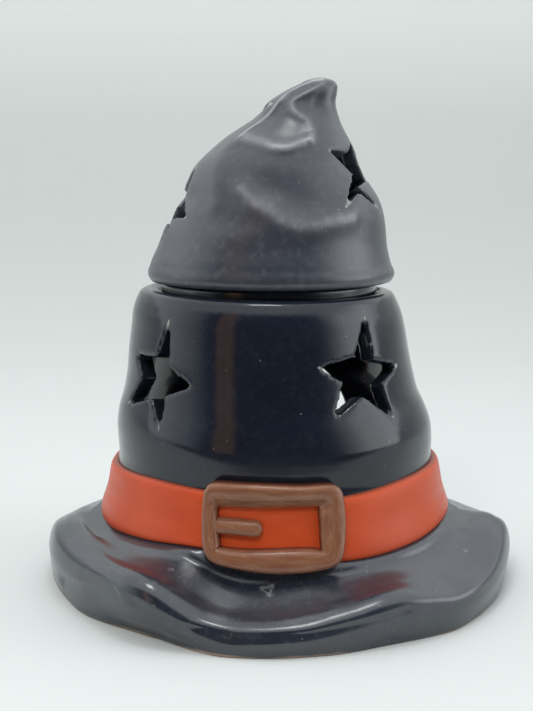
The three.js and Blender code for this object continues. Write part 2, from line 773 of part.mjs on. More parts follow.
const glaze = { color: 0x1c222c, roughness: 0.3, metalness: 0 };
const satinGlaze = { color: 0x23272f, roughness: 0.45, metalness: 0 };
const orangeGlaze = { color: 0xb5401f, roughness: 0.35, metalness: 0 };
const brownGlaze = { color: 0x6e4a37, roughness: 0.35, metalness: 0 };
const aluminium = { color: 0xc4c6c8, roughness: 0.35, metalness: 1 };
const candleWax = { color: 0xefe9dc, roughness: 0.5, metalness: 0 };
const cotton = { color: 0xe4dcc8, roughness: 0.9, metalness: 0 };
const steel = { color: 0xa8a8a6, roughness: 0.4, metalness: 1 };

function piece(name, geometry, finish) {
  const mesh = new THREE.Mesh(geometry, new THREE.MeshStandardMaterial(finish));
  mesh.name = name;
  return mesh;
}

const hat = new THREE.Group();
hat.add(
  piece('brim', brim(), glaze),
  piece('crown', crown(), glaze),
  piece('wax_dish', waxDish(), glaze),
  piece('tip_lid', tip(), satinGlaze),
  piece('hat_band', hatBand(), orangeGlaze),
  piece('buckle_frame', buckleFrame(), brownGlaze),
  piece('buckle_prong', buckleProng(), brownGlaze),
  piece('tealight_cup', tealightCup(), aluminium),
  piece('tealight_wax', tealightWax(), candleWax),
  piece('wick_tab', wickTab(), steel),
  piece('tealight_wick', tealightWick(), cotton),
);

const outline = new THREE.Box3().setFromObject(hat);
hat.position.set(-(outline.min.x + outline.max.x) / 2, -(outline.min.y + outline.max.y) / 2, 0);

export default hat;
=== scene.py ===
# A witch hat wax burner in black glaze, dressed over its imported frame. Millimetres until a mesh
# is made, then metres. An azimuth is 0 at the front and grows towards +X.
import json
import math

import bmesh
import bpy
import numpy as np
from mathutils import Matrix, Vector, noise


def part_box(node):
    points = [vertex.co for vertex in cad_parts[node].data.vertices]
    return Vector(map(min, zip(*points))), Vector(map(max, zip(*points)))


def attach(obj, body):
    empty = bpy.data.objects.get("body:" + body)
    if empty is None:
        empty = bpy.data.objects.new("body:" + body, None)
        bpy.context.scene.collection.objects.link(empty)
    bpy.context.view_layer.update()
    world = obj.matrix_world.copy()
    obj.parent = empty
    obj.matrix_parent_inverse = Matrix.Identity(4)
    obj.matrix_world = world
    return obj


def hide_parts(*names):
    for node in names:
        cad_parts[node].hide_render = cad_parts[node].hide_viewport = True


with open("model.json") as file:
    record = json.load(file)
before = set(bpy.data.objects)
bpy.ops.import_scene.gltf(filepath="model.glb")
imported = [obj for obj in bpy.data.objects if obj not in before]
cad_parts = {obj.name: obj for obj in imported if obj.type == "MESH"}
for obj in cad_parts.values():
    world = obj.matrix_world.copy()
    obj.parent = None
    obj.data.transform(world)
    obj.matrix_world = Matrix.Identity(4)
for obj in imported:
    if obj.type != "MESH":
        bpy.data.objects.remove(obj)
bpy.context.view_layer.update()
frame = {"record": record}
mm = 0.001

hearthLow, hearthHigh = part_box("tealight_cup")  # the tealight stands on the hearth's axis
axisX = (hearthLow.x + hearthHigh.x) / 2
axisY = (hearthLow.y + hearthHigh.y) / 2

hearth = dict(height=17, thickness=5, gap=0.3)  # the gap lies between castings that stand in each other


# Smooth curve through rows of values whose first column rises
def throughRows(rows, at):
    table = np.array(rows, float)
    x, y = table[:, 0], table[:, 1:]
    slope = np.gradient(y, x, axis=0)
    at = np.asarray(at, float)
    i = np.clip(np.searchsorted(x, at, side="right") - 1, 0, len(x) - 2)
    gap = x[i + 1] - x[i]
    t = np.clip((at - x[i]) / gap, 0, 1)[..., None]
    gap = gap[..., None]
    start, end = y[i], y[i + 1]
    return (start * (1 + 2 * t) * (1 - t) ** 2 + end * t * t * (3 - 2 * t)
            + gap * slope[i] * t * (1 - t) ** 2 - gap * slope[i + 1] * t * t * (1 - t))


# The same round the hat, for rows whose first column is an azimuth
def roundTurns(rows, azimuth):
    table = np.array(rows, float)
    ahead, behind = table[:3].copy(), table[-3:].copy()
    ahead[:, 0] += 360
    behind[:, 0] -= 360
    wrapped = np.concatenate([behind, table, ahead])
    return throughRows(wrapped, (np.asarray(azimuth, float) + 180) % 360 - 180)


# The same for rows at equal steps round the hat
def roundRows(rows, azimuth):
    table = np.array(rows, float)
    count = len(table)
    spot = np.asarray(azimuth, float) / 360 % 1 * count
    i = np.floor(spot).astype(int)
    t = (spot - i)[..., None]
    a, b, c, d = (table[(i + k) % count] for k in (-1, 0, 1, 2))
    return b + t * (c - a + t * (2 * a - 5 * b + 4 * c - d + t * (3 * (b - c) + d - a))) / 2


# Rises softly from 0 at the low value to 1 at the high one
def fadeIn(value, low, high):
    t = np.clip((value - low) / (high - low), 0, 1)
    return t * t * (3 - 2 * t)


# Points at an azimuth and a radius from an upright axis
def polar(azimuth, radius, centreX, height):
    angle = np.radians(azimuth)
    parts = np.broadcast_arrays(centreX + radius * np.sin(angle), -radius * np.cos(angle), height)
    return np.stack(parts, -1).astype(float)


# Slow unevenness of hand-cast walls, along the surface
def handMade(points, grain, seed):
    flat = points.reshape(-1, 3) / grain + seed
    values = np.array([noise.noise(Vector(p)) for p in flat])
    return values.reshape(points.shape[:-1])


farOff = 1e3  # further than any spot of the burner


# How far each spot of a wall lies from a line of corners over its surface, and how far above it
def lineGap(azimuth, height, radius, corners):
    nearest = np.full(np.broadcast(azimuth, height).shape, farOff)
    over = np.zeros(nearest.shape)
    for (startTurn, startLevel), (endTurn, endLevel) in zip(corners, corners[1:]):
        across = np.radians((azimuth - startTurn + 180) % 360 - 180) * radius
        up = height - startLevel
        spanAcross = math.radians(endTurn - startTurn) * radius
        spanUp = endLevel - startLevel
        along = (across * spanAcross + up * spanUp) / (spanAcross ** 2 + spanUp ** 2)
        along = np.clip(along, 0, 1)
        gapUp = up - along * spanUp
        gap = np.hypot(across - along * spanAcross, gapUp)
        over = np.where(gap < nearest, gapUp, over)
        nearest = np.minimum(nearest, gap)
    return nearest, over


def newObject(name, points, faces):
    mesh = bpy.data.meshes.new(name)
    place = np.asarray(points, float).reshape(-1, 3) * mm + (axisX, axisY, 0)
    mesh.from_pydata(place.tolist(), [], faces)
    mesh.update()
    piece = bpy.data.objects.new(name, mesh)
    bpy.context.scene.collection.objects.link(piece)
    return piece


# Quads between rings of points; a loop of rings closes on itself, and a strip leaves its rings open
def ringFaces(rowCount, stepCount, loop=False, strip=False):
    rows = rowCount if loop else rowCount - 1
    steps = stepCount - 1 if strip else stepCount
    r, s = np.meshgrid(np.arange(rows), np.arange(steps), indexing="ij")
    nextRow, nextStep = (r + 1) % rowCount, (s + 1) % stepCount
    quads = np.stack([r * stepCount + s, r * stepCount + nextStep,
                      nextRow * stepCount + nextStep, nextRow * stepCount + s], -1)
    return quads.reshape(-1, 4).tolist()


# Turns every face of a closed shell outwards
def faceOut(piece):
    edit = bmesh.new()
    edit.from_mesh(piece.data)
    bmesh.ops.recalc_face_normals(edit, faces=edit.faces)
    if edit.calc_volume(signed=True) < 0:
        bmesh.ops.reverse_faces(edit, faces=edit.faces)
    edit.to_mesh(piece.data)
    edit.free()
    return piece


# A closed shell from rings of points, ended by a tip, or by closing on itself as a loop
def shellFromRings(name, rings, loop=False, tips=(None, None)):
    rings = np.asarray(rings, float)
    rowCount, stepCount = rings.shape[:2]
    points = rings.reshape(-1, 3).tolist()
    faces = ringFaces(rowCount, stepCount, loop)
    for tip, row in zip(tips, (0, rowCount - 1)):
        if tip is not None:
            points.append(list(tip))
            faces += [(len(points) - 1, row * stepCount + i, row * stepCount + (i + 1) % stepCount)
                      for i in range(stepCount)]
    return faceOut(newObject(name, points, faces))


# A closed block between two outlines that face each other
def prism(name, front, back):
    count = len(front)
    faces = [tuple(range(count)), tuple(range(2 * count - 1, count - 1, -1))]
    faces += [(i, (i + 1) % count, count + (i + 1) % count, count + i) for i in range(count)]
    return faceOut(newObject(name, np.concatenate([front, back]), faces))


# The piece with its modifiers made into a plain mesh
def applied(piece):
    ready = piece.evaluated_get(bpy.context.evaluated_depsgraph_get())
    mesh = bpy.data.meshes.new_from_object(ready)
    old = piece.data
    piece.modifiers.clear()
    piece.data = mesh
    bpy.data.meshes.remove(old)
    return piece


def smoothed(piece):
    piece.data.polygons.foreach_set("use_smooth", [True] * len(piece.data.polygons))
    return piece


def cutBy(piece, cutters):
    for cutter in cutters:
        cut = piece.modifiers.new("cut", "BOOLEAN")
        cut.operation, cut.solver, cut.object = "DIFFERENCE", "EXACT", cutter
        applied(piece)
        bpy.data.objects.remove(cutter)
    return piece


# Gives a cut casting an even mesh and rounds its edges a little
def remeshed(piece, look):
    grid = piece.modifiers.new("grid", "REMESH")
    grid.mode, grid.voxel_size = "VOXEL", look["voxel"] * mm
    soft = piece.modifiers.new("soft", "SMOOTH")
    soft.factor, soft.iterations = 0.5, look["softening"]
    return applied(piece)


def meshPoints(piece):
    place = np.empty(len(piece.data.vertices) * 3)
    piece.data.vertices.foreach_get("co", place)
    return (place.reshape(-1, 3) - (axisX, axisY, 0)) / mm


def setMeshPoints(piece, points):
    piece.data.vertices.foreach_set("co", (points * mm + (axisX, axisY, 0)).ravel())
    piece.data.update()


def setAttribute(piece, name, values):
    attribute = piece.data.attributes.new(name, "FLOAT", "POINT")
    attribute.data.foreach_set("value", np.asarray(values, np.float32))


# Points of a smooth open line through a few corners, each span in equal steps
def smoothLine(corners, steps):
    corners = np.array(corners, float)
    length = np.concatenate([[0], np.cumsum(np.linalg.norm(np.diff(corners, axis=0), axis=1))])
    rows = np.column_stack([length, corners])
    return throughRows(rows, np.linspace(0, length[-1], steps))


# A turned piece from its profile of radius and height, closed by a point where the profile meets the axis
def lathe(name, profile, steps, centreX=0.0):
    azimuth = np.linspace(0, 360, steps, endpoint=False)
    tips = [None, None]
    inner = [p for p in profile if p[0] > 0]
    if profile[0][0] == 0:
        tips[0] = (centreX, 0, profile[0][1])
    if profile[-1][0] == 0:
        tips[1] = (centreX, 0, profile[-1][1])
    rings = np.array([polar(azimuth, r, centreX, z) for r, z in inner])
    return smoothed(shellFromRings(name, rings, loop=tips == [None, None], tips=tips))


# Rounds the corners of a profile of radius and height
def roundedProfile(corners, steps=4):
    points = []
    for i, (radius, height, *bend) in enumerate(corners):
        here = np.array([radius, height], float)
        reach = bend[0] if bend else 0
        if not reach:
            points.append(tuple(here))
            continue
        before = np.array(corners[i - 1][:2], float)
        after = np.array(corners[(i + 1) % len(corners)][:2], float)
        start = here + (before - here) * min(0.5, reach / np.linalg.norm(before - here))
        end = here + (after - here) * min(0.5, reach / np.linalg.norm(after - here))
        for t in np.linspace(0, 1, steps + 1):
            points.append(tuple(start * (1 - t) ** 2 + 2 * here * t * (1 - t) + end * t * t))
    return points


# Star windows: the outlines are shares of the star's radius, across and up, from its upper tip round
stars = dict(
    sagShare=0.25, overrun=1,
    right=[(0.34, 1.08), (-0.02, 0.35), (-0.78, 0.26), (-0.32, -0.05), (-0.6, -0.66),
           (0.06, -0.32), (0.73, -0.81), (0.57, -0.16), (1.22, 0.12), (0.42, 0.26)],
    left=[(0.34, 1.12), (0.08, 0.41), (-0.72, 0.39), (-0.36, -0.03), (-0.86, -0.59),
          (0.04, -0.33), (0.46, -0.84), (0.4, -0.23), (0.99, 0.02), (0.43, 0.29)],
    lidRight=[(0.75, 0.98), (0.02, 0.61), (-0.69, 0.72), (-0.23, 0.09), (-1.06, -0.6),
              (-0.44, -0.36), (0.36, -0.88), (-0.3, -0.22), (1.05, 0.05), (0.55, 0.42)],
    lidLeft=[(0.4, 1), (-0.02, 0.38), (-0.8, 0.6), (-0.35, -0.02), (-0.75, -0.7),
             (0.02, -0.42), (0.58, -0.88), (0.47, -0.27), (1.14, -0.1), (0.47, 0.27)],
    lidBack=[(0.74, 1.29), (0, 0.42), (-0.65, 0.76), (-0.41, 0.1), (-0.92, -0.39),
             (-0.22, -0.36), (0.08, -1), (0.27, -0.32), (0.8, -0.2), (0.42, 0.26)],
)


# A star's plane on a face: its middle, and the ways across, up and out
def starPlane(face, star):
    at = star["azimuth"] + np.array([0, 1, -1, 0, 0])
    shares = star["share"] + np.array([0, 0, 0, 0.01, -0.01])
    centre, right, left, upper, lower = face(at, shares)
    across = (right - left) / np.linalg.norm(right - left)
    out = np.cross(across, upper - lower)
    out /= np.linalg.norm(out)
    return centre, across, np.cross(out, across), out


def starOutline(star, radius):
    return np.array(stars[star["outline"]]) * radius


def starCutter(face, star, look):
    centre, across, up, out = starPlane(face, star)
    radius = look["starRadius"]
    outline = starOutline(star, radius)
    sag = radius * stars["sagShare"]
    flat = centre + outline[:, :1] * across + outline[:, 1:] * up
    inward = look["wall"] + sag + stars["overrun"]
    return prism("starCutter", flat - inward * out, flat + sag * out)


# How far each point lies from the nearest edge of the star windows, in the star's own plane
def starDistance(points, face, look):
    best = np.full(len(points), farOff)
    radius = look["starRadius"]
    for star in look["stars"]:
        centre, across, up, out = starPlane(face, star)
        local = points - centre
        flat = np.stack([local @ across, local @ up], -1)
        near = np.abs(local @ out) < radius
        outline = starOutline(star, radius)
        for a, b in zip(outline, np.roll(outline, -1, 0)):
            t = np.clip(((flat - a) @ (b - a)) / ((b - a) @ (b - a)), 0, 1)
            gap = np.linalg.norm(flat - a - t[:, None] * (b - a), axis=1)
            best = np.where(near, np.minimum(best, gap), best)
    return best


# A face's points, from the function that tells its radius, middle and height
def faceOf(radiusOf):
    def face(azimuth, share, inset=0.0):
        radius, centreX, height = radiusOf(azimuth, share)
        return polar(azimuth, radius - inset, centreX, height)
    return face


# Azimuth and height share of points on or near a face
def faceAddress(points, radiusOf, look):
    height = look["height"]
    share = (points[:, 2] - look["seat"]) / height
    azimuth = np.zeros(len(points))
    for _ in range(4):
        centreX, level = radiusOf(azimuth, np.clip(share, 0, 1))[1:]
        azimuth = np.degrees(np.arctan2(points[:, 0] - centreX, -points[:, 1]))
        share = np.clip(share + (points[:, 2] - level) / height, 0, 1)
    return azimuth, share


settling = dict(
    reach=0.6, seed=3.7, depthShare=0.9,
    edge=(0.9, 2.0),  # how far from a cut edge it starts and is full
    footShare=0.004, handMadeShare=0.05, tipShares=(0.955, 0.985),
)


# Settles a remeshed wall back on its true faces and notes how far its points are from cut edges
def settle(piece, face, radiusOf, look, extraGap=None):
    points = meshPoints(piece)
    azimuth, share = faceAddress(points, radiusOf, look)
    radius, centreX, _ = radiusOf(azimuth, share)
    flatRadius = np.hypot(points[:, 0] - centreX, points[:, 1])
    gap = starDistance(points, face, look)
    if extraGap is not None:
        gap = np.minimum(gap, extraGap(points))
    free = fadeIn(gap, *settling["edge"]) * (share > settling["footShare"])
    free = free * (1 - fadeIn(share, *settling["tipShares"]))
    for inset in (0, look["wall"]):
        miss = radius - inset - flatRadius
        flatRadius = flatRadius + miss * free * (np.abs(miss) < settling["reach"])
    bump = handMade(face(azimuth, share), look["grain"], settling["seed"]) * look["handMade"]
    flatRadius = flatRadius + bump * fadeIn(share, 0, settling["handMadeShare"])
    setMeshPoints(piece, polar(azimuth, flatRadius, centreX, points[:, 2]))
    depth = radius - np.hypot(points[:, 0] - centreX, points[:, 1])
    setAttribute(piece, "cutGap", np.hypot(gap, np.maximum(depth, 0) * settling["depthShare"]))


crown = dict(
    seat=hearth["height"], height=75.7, radius=51.5, lean=-2.7, ripple=0.6, wall=6, tilt=0.7,
    voxel=0.815, softening=3, steps=384, rows=150, handMade=0.16, grain=19,
    starRadius=16.7,
    stars=[dict(azimuth=34.6, share=0.6975, outline="right"),
           dict(azimuth=-51, share=0.668, outline="left")],
    # from here up the rows lie closer, and up to here the hollow goes
    rimShare=0.9, rimRows=40, innerTopShare=0.83, innerRows=60,
    # share of the height, then shares of the radius, the lean and the tilt
    shares=[
        (0, 1.095, 0, 0), (0.066, 1.076, 0, 0), (0.153, 1.035, 0, 0), (0.225, 1.014, 0, 0),
        (0.291, 0.998, 0, 0), (0.363, 1, 0.02, 0), (0.436, 0.996, 0.15, 0), (0.502, 0.971, 0.37, 0),
        (0.568, 0.934, 0.55, 0), (0.647, 0.907, 0.63, 0), (0.753, 0.882, 0.78, 0),
        (0.845, 0.86, 0.85, 0.1), (0.925, 0.835, 1, 0.4), (0.967, 0.808, 1, 0.8),
        (0.991, 0.7825, 0.9, 1), (1, 0.755, 0.75, 1)],
)
crown["mouthX"] = crown["lean"] * crown["shares"][-1][2]
crown["rimRadius"] = crown["radius"] * crown["shares"][-1][1]
crown["top"] = crown["seat"] + crown["height"]

mouth = dict(land=3.7, roundShare=0.3, rebateDepth=4.7, ledgeWidth=4.2, ledgeThickness=3.5)
mouth["ledge"] = crown["top"] - mouth["rebateDepth"]
mouth["rebateRadius"] = crown["rimRadius"] - mouth["land"]
mouth["radius"] = mouth["rebateRadius"] - mouth["ledgeWidth"]


# Radius, middle and height of the crown's outer face
def crownRadius(azimuth, share):
    radiusShare, leanShare, tiltShare = np.moveaxis(throughRows(crown["shares"], share), -1, 0)
    fade = np.minimum(1, (1 - share) / crown["shares"][1][0])
    radius = crown["radius"] * radiusShare + crown["ripple"] * np.cos(3 * np.radians(azimuth)) * fade
    tilt = crown["tilt"] * tiltShare * np.sin(np.radians(azimuth))
    height = hearth["height"] + share * crown["height"] - tilt
    return radius, crown["lean"] * leanShare, height


crownFace = faceOf(crownRadius)

arch = dict(halfWidth=27, height=49, overrun=1, steps=49)  # the opening at the back


def archCutter():
    half, spring = arch["halfWidth"], arch["height"] - arch["halfWidth"]
    base = hearth["height"]
    sweep = np.radians(np.linspace(0, 180, arch["steps"]))
    outline = [(half, -arch["overrun"])]
    outline += [(half * math.cos(a), spring + half * math.sin(a)) for a in sweep]
    outline += [(-half, -arch["overrun"])]
    far = crown["radius"] * crown["shares"][0][1] + half
    front, back = ([(x, y, base + z) for x, z in outline] for y in (half, far))
    return prism("archCutter", front, back)


# The cone of the hat, hollow, with a rebate in its mouth for the dish
def makeCrown():
    azimuth = np.linspace(0, 360, crown["steps"], endpoint=False)[None, :]
    wallShares = np.linspace(0, crown["rimShare"], crown["rows"] - crown["rimRows"])
    rimShares = np.linspace(crown["rimShare"], 1, crown["rimRows"] + 1)
    shares = np.concatenate([wallShares, rimShares[1:]])[:, None]
    outer = crownFace(azimuth, shares)
    lift = crown["top"]
    rimRound = mouth["land"] * mouth["roundShare"]
    mouthX = crown["mouthX"]
    across = [
        (mouth["rebateRadius"] + rimRound, lift - rimRound / 2), (mouth["rebateRadius"], lift - 2 * rimRound),
        (mouth["rebateRadius"], mouth["ledge"]), (mouth["radius"], mouth["ledge"]),
        (mouth["radius"], mouth["ledge"] - mouth["ledgeThickness"])]
    inside = [polar(azimuth[0], r, mouthX, z) for r, z in across]
    innerShares = np.linspace(crown["innerTopShare"], 0, crown["innerRows"])[:, None]
    inner = crownFace(azimuth, innerShares, crown["wall"])
    rings = np.concatenate([outer, np.array(inside), inner])
    piece = shellFromRings("crownCasting", rings, loop=True)
    cutBy(piece, [archCutter()] + [starCutter(crownFace, star, crown) for star in crown["stars"]])
    remeshed(piece, crown)

    def archGap(points):
        spring = hearth["height"] + arch["height"] - arch["halfWidth"]
        up = np.maximum(points[:, 2] - spring, 0)
        gap = np.abs(np.hypot(points[:, 0], up) - arch["halfWidth"])
        return np.where(points[:, 1] > 0, gap, farOff)

    settle(piece, crownFace, crownRadius, crown, archGap)
    return smoothed(piece)


dish = dict(
    clearance=0.6, flangeHeight=6.6, flangeWall=2.6, flangeRound=1.1, wall=4, depth=18.9,
    footRadius=20, footWidth=2, footDepth=0.6, footRound=0.8, steps=180,
)
dish["flangeLow"] = mouth["ledge"] + hearth["gap"]
dish["flangeTop"] = dish["flangeLow"] + dish["flangeHeight"]
dish["flangeRadius"] = mouth["rebateRadius"] - dish["clearance"]
dish["innerRadius"] = dish["flangeRadius"] - dish["flangeWall"]


def makeDish():
    bowl = mouth["radius"] - dish["clearance"]
    foot = dish["flangeTop"] - dish["depth"]
    floor = foot + dish["wall"]
    low, high, wall = dish["flangeLow"], dish["flangeTop"], dish["wall"]
    bend, footBend = dish["flangeRound"], dish["footRound"]
    under, ring = foot + dish["footDepth"], dish["footRadius"] - dish["footWidth"]
    profile = [
        (0, under), (ring - 1, under, footBend), (ring, foot, footBend), (dish["footRadius"], foot, footBend),
        (dish["footRadius"] + 5, foot + 2.4, 3), (bowl, foot + 7.6, 4), (bowl, low, footBend),
        (dish["flangeRadius"], low, bend), (dish["flangeRadius"], high, bend),
        (dish["innerRadius"], high, bend), (dish["innerRadius"], low + hearth["gap"], 1.5),
        (bowl - wall, low - wall / 2, 2), (bowl - wall, foot + 8.5, 5), (dish["footRadius"], floor + 0.7, 5),
        (0, floor)]
    return lathe("waxDish", roundedProfile(profile, 6), dish["steps"], crown["mouthX"])


lid = dict(
    height=63.9, lean=17.6, overhang=0.6, wall=5, ringWall=2.5, ringDepth=2.5, ringGap=0.4, ringRise=3.3,
    voxel=0.605, softening=3, steps=384, rows=170, peakShare=0.992, handMade=0.12, grain=14,
    innerShares=(0.82, 0.16), innerRows=50, starRadius=14,
    stars=[dict(azimuth=64, share=0.513, outline="lidRight"),
           dict(azimuth=-85, share=0.372, outline="lidLeft"),
           dict(azimuth=-128, share=0.745, outline="lidBack")],
    # share of the height, then shares of the radius and the lean
    shares=[
        (0, 0.972, 0.04), (0.028, 1, 0.04), (0.095, 0.974, 0.028), (0.174, 0.93, 0.0625),
        (0.254, 0.895, 0.114), (0.332, 0.846, 0.18), (0.412, 0.787, 0.21), (0.49, 0.729, 0.16),
        (0.568, 0.661, 0.148), (0.646, 0.577, 0.233), (0.725, 0.473, 0.318), (0.803, 0.357, 0.4545),
        (0.88, 0.278, 0.57), (0.93, 0.214, 0.74), (0.965, 0.152, 0.87), (0.988, 0.088, 0.91), (1, 0, 0.92)],
    # azimuth, height share, reach in degrees, reach as a height share, rise in millimetres
    folds=[
        (-22, 0.86, 14, 0.05, -0.3), (31, 0.865, 20, 0.06, -0.7), (-22, 0.3, 22, 0.07, -0.4),
        (18, 0.205, 30, 0.07, -0.35), (-36, 0.17, 20, 0.08, 0.3), (46, 0.22, 20, 0.07, -0.3),
        (-92, 0.8, 48, 0.1, -1.6), (-90, 0.36, 45, 0.1, 0.9),
        (150, 0.33, 24, 0.05, 1.6), (185, 0.55, 26, 0.07, -1.8), (-150, 0.26, 24, 0.06, -1.2),
        (110, 0.68, 20, 0.06, 1)],
    # ridges: corners of azimuth and height above the table, then rise and reach in millimetres
    ridges=[
        ([(9, 158.1), (-25, 157.6), (-38, 156), (-42, 154.2), (-37, 151.1), (-37, 148.3), (-40, 145.9),
          (-42, 142.9), (-41, 140.4)], 0.7, 0.95),
        ([(16, 157), (8, 155.4), (-4, 153.2), (-13, 151.8), (-14.5, 150.4), (-10, 148.9), (-4, 147.7),
          (5, 146.6), (16, 145.3), (21, 143.6), (24, 141.7), (21, 139.3)], 0.5, 1.25),
        ([(21, 139.3), (13, 138.2), (7, 137.2), (0, 136.7), (-9, 137.2), (-18, 138.4), (-29, 139.4),
          (-41, 140.4)], 0.75, 2.0),
        ([(-27, 144), (-9, 142.5), (8, 142)], -0.7, 4.4),
        ([(12, 151), (22, 151.5), (26, 149)], -0.9, 3.2),
        ([(-38, 140), (-48, 138.2), (-49, 136), (-44, 133.1), (-41, 128.9), (-40, 124.2),
          (-38, 120.6)], 0.6, 3.2),
        ([(-22, 124.2), (-15, 120.7), (-7, 118.8), (-1, 116.5), (5, 114.8), (12, 113.9), (20, 114.4),
          (29, 115.5), (39, 116.5)], 1.05, 3.8),
        ([(-20, 128), (4, 124), (16, 122), (36, 124)], -0.45, 5.5)],
    # painted highlight along the ridges: which ridge, how strongly and how far
    pale=[(0, 1, 0.45), (1, 0.3, 0.8), (2, 0.42, 1.2), (6, 0.4, 1.6)],
)
lid["seat"] = dish["flangeTop"] + hearth["gap"]
lid["radius"] = crown["rimRadius"] + lid["overhang"]


def lidFold(azimuth, share):
    total = np.zeros(np.broadcast(azimuth, share).shape)
    for centre, centreShare, reach, reachShare, rise in lid["folds"]:
        across = (azimuth - centre + 180) % 360 - 180
        total += rise * np.exp(-(across / reach) ** 2 - ((share - centreShare) / reachShare) ** 2)
    return total


# How far the ridges lift each spot of a wall, by its distance from them over the surface
def ridgeRise(azimuth, height, radius, ridges):
    total = np.zeros(np.broadcast(azimuth, height).shape)
    for corners, rise, reach in ridges:
        gap, _ = lineGap(azimuth, height, radius, corners)
        total += rise * np.exp(-(gap / reach) ** 2)
    return total


# Radius, middle and height of the lid's outer face
def lidRadius(azimuth, share):
    radiusShare, leanShare = np.moveaxis(throughRows(lid["shares"], share), -1, 0)
    fade = np.minimum(1, radiusShare / lid["shares"][-4][1])
    level = lid["seat"] + share * lid["height"]
    radius = lid["radius"] * radiusShare
    radius = radius + (lidFold(azimuth, share) + ridgeRise(azimuth, level, radius, lid["ridges"])) * fade
    centreX = crown["mouthX"] + lid["lean"] * leanShare
    return radius, centreX, level + 0 * azimuth


lidFace = faceOf(lidRadius)


# The crooked tip, hollow, with a ring below that centres it in the dish
def makeLid():
    azimuth = np.linspace(0, 360, lid["steps"], endpoint=False)[None, :]
    shares = np.linspace(0, lid["peakShare"], lid["rows"])[:, None]
    outer = lidFace(azimuth, shares)
    ringOuter = dish["innerRadius"] - lid["ringGap"]
    ringInner = ringOuter - lid["ringWall"]
    seat = lid["seat"]
    profile = [(ringInner, seat + lid["ringRise"]), (ringInner, seat - lid["ringDepth"]),
               (ringOuter, seat - lid["ringDepth"]), (ringOuter, seat)]
    seatRings = np.array([polar(azimuth[0], r, crown["mouthX"], z) for r, z in profile])
    innerShares = np.linspace(*lid["innerShares"], lid["innerRows"])[:, None]
    inner = lidFace(azimuth, innerShares, lid["wall"])
    roof = inner[0].mean(0) + (0, 0, lid["wall"] / 2)
    peak = lidFace(np.array(0.0), np.array(1.0))
    rings = np.concatenate([inner, seatRings, outer])
    piece = shellFromRings("tipLid", rings, tips=(roof, peak))
    cutBy(piece, [starCutter(lidFace, star, lid) for star in lid["stars"]])
    remeshed(piece, lid)
    settle(piece, lidFace, lidRadius, lid)
    azimuth, share = faceAddress(meshPoints(piece), lidRadius, lid)
    radius, _, level = lidRadius(azimuth, share)
    # a painted highlight along chosen ridges of the lid, kept as pale lines in its colour
    lines = [(lid["ridges"][which][0], strength, reach) for which, strength, reach in lid["pale"]]
    setAttribute(piece, "chipRimAndPaintedHighlight", np.clip(ridgeRise(azimuth, level, radius, lines), 0, 1))
    return smoothed(piece)


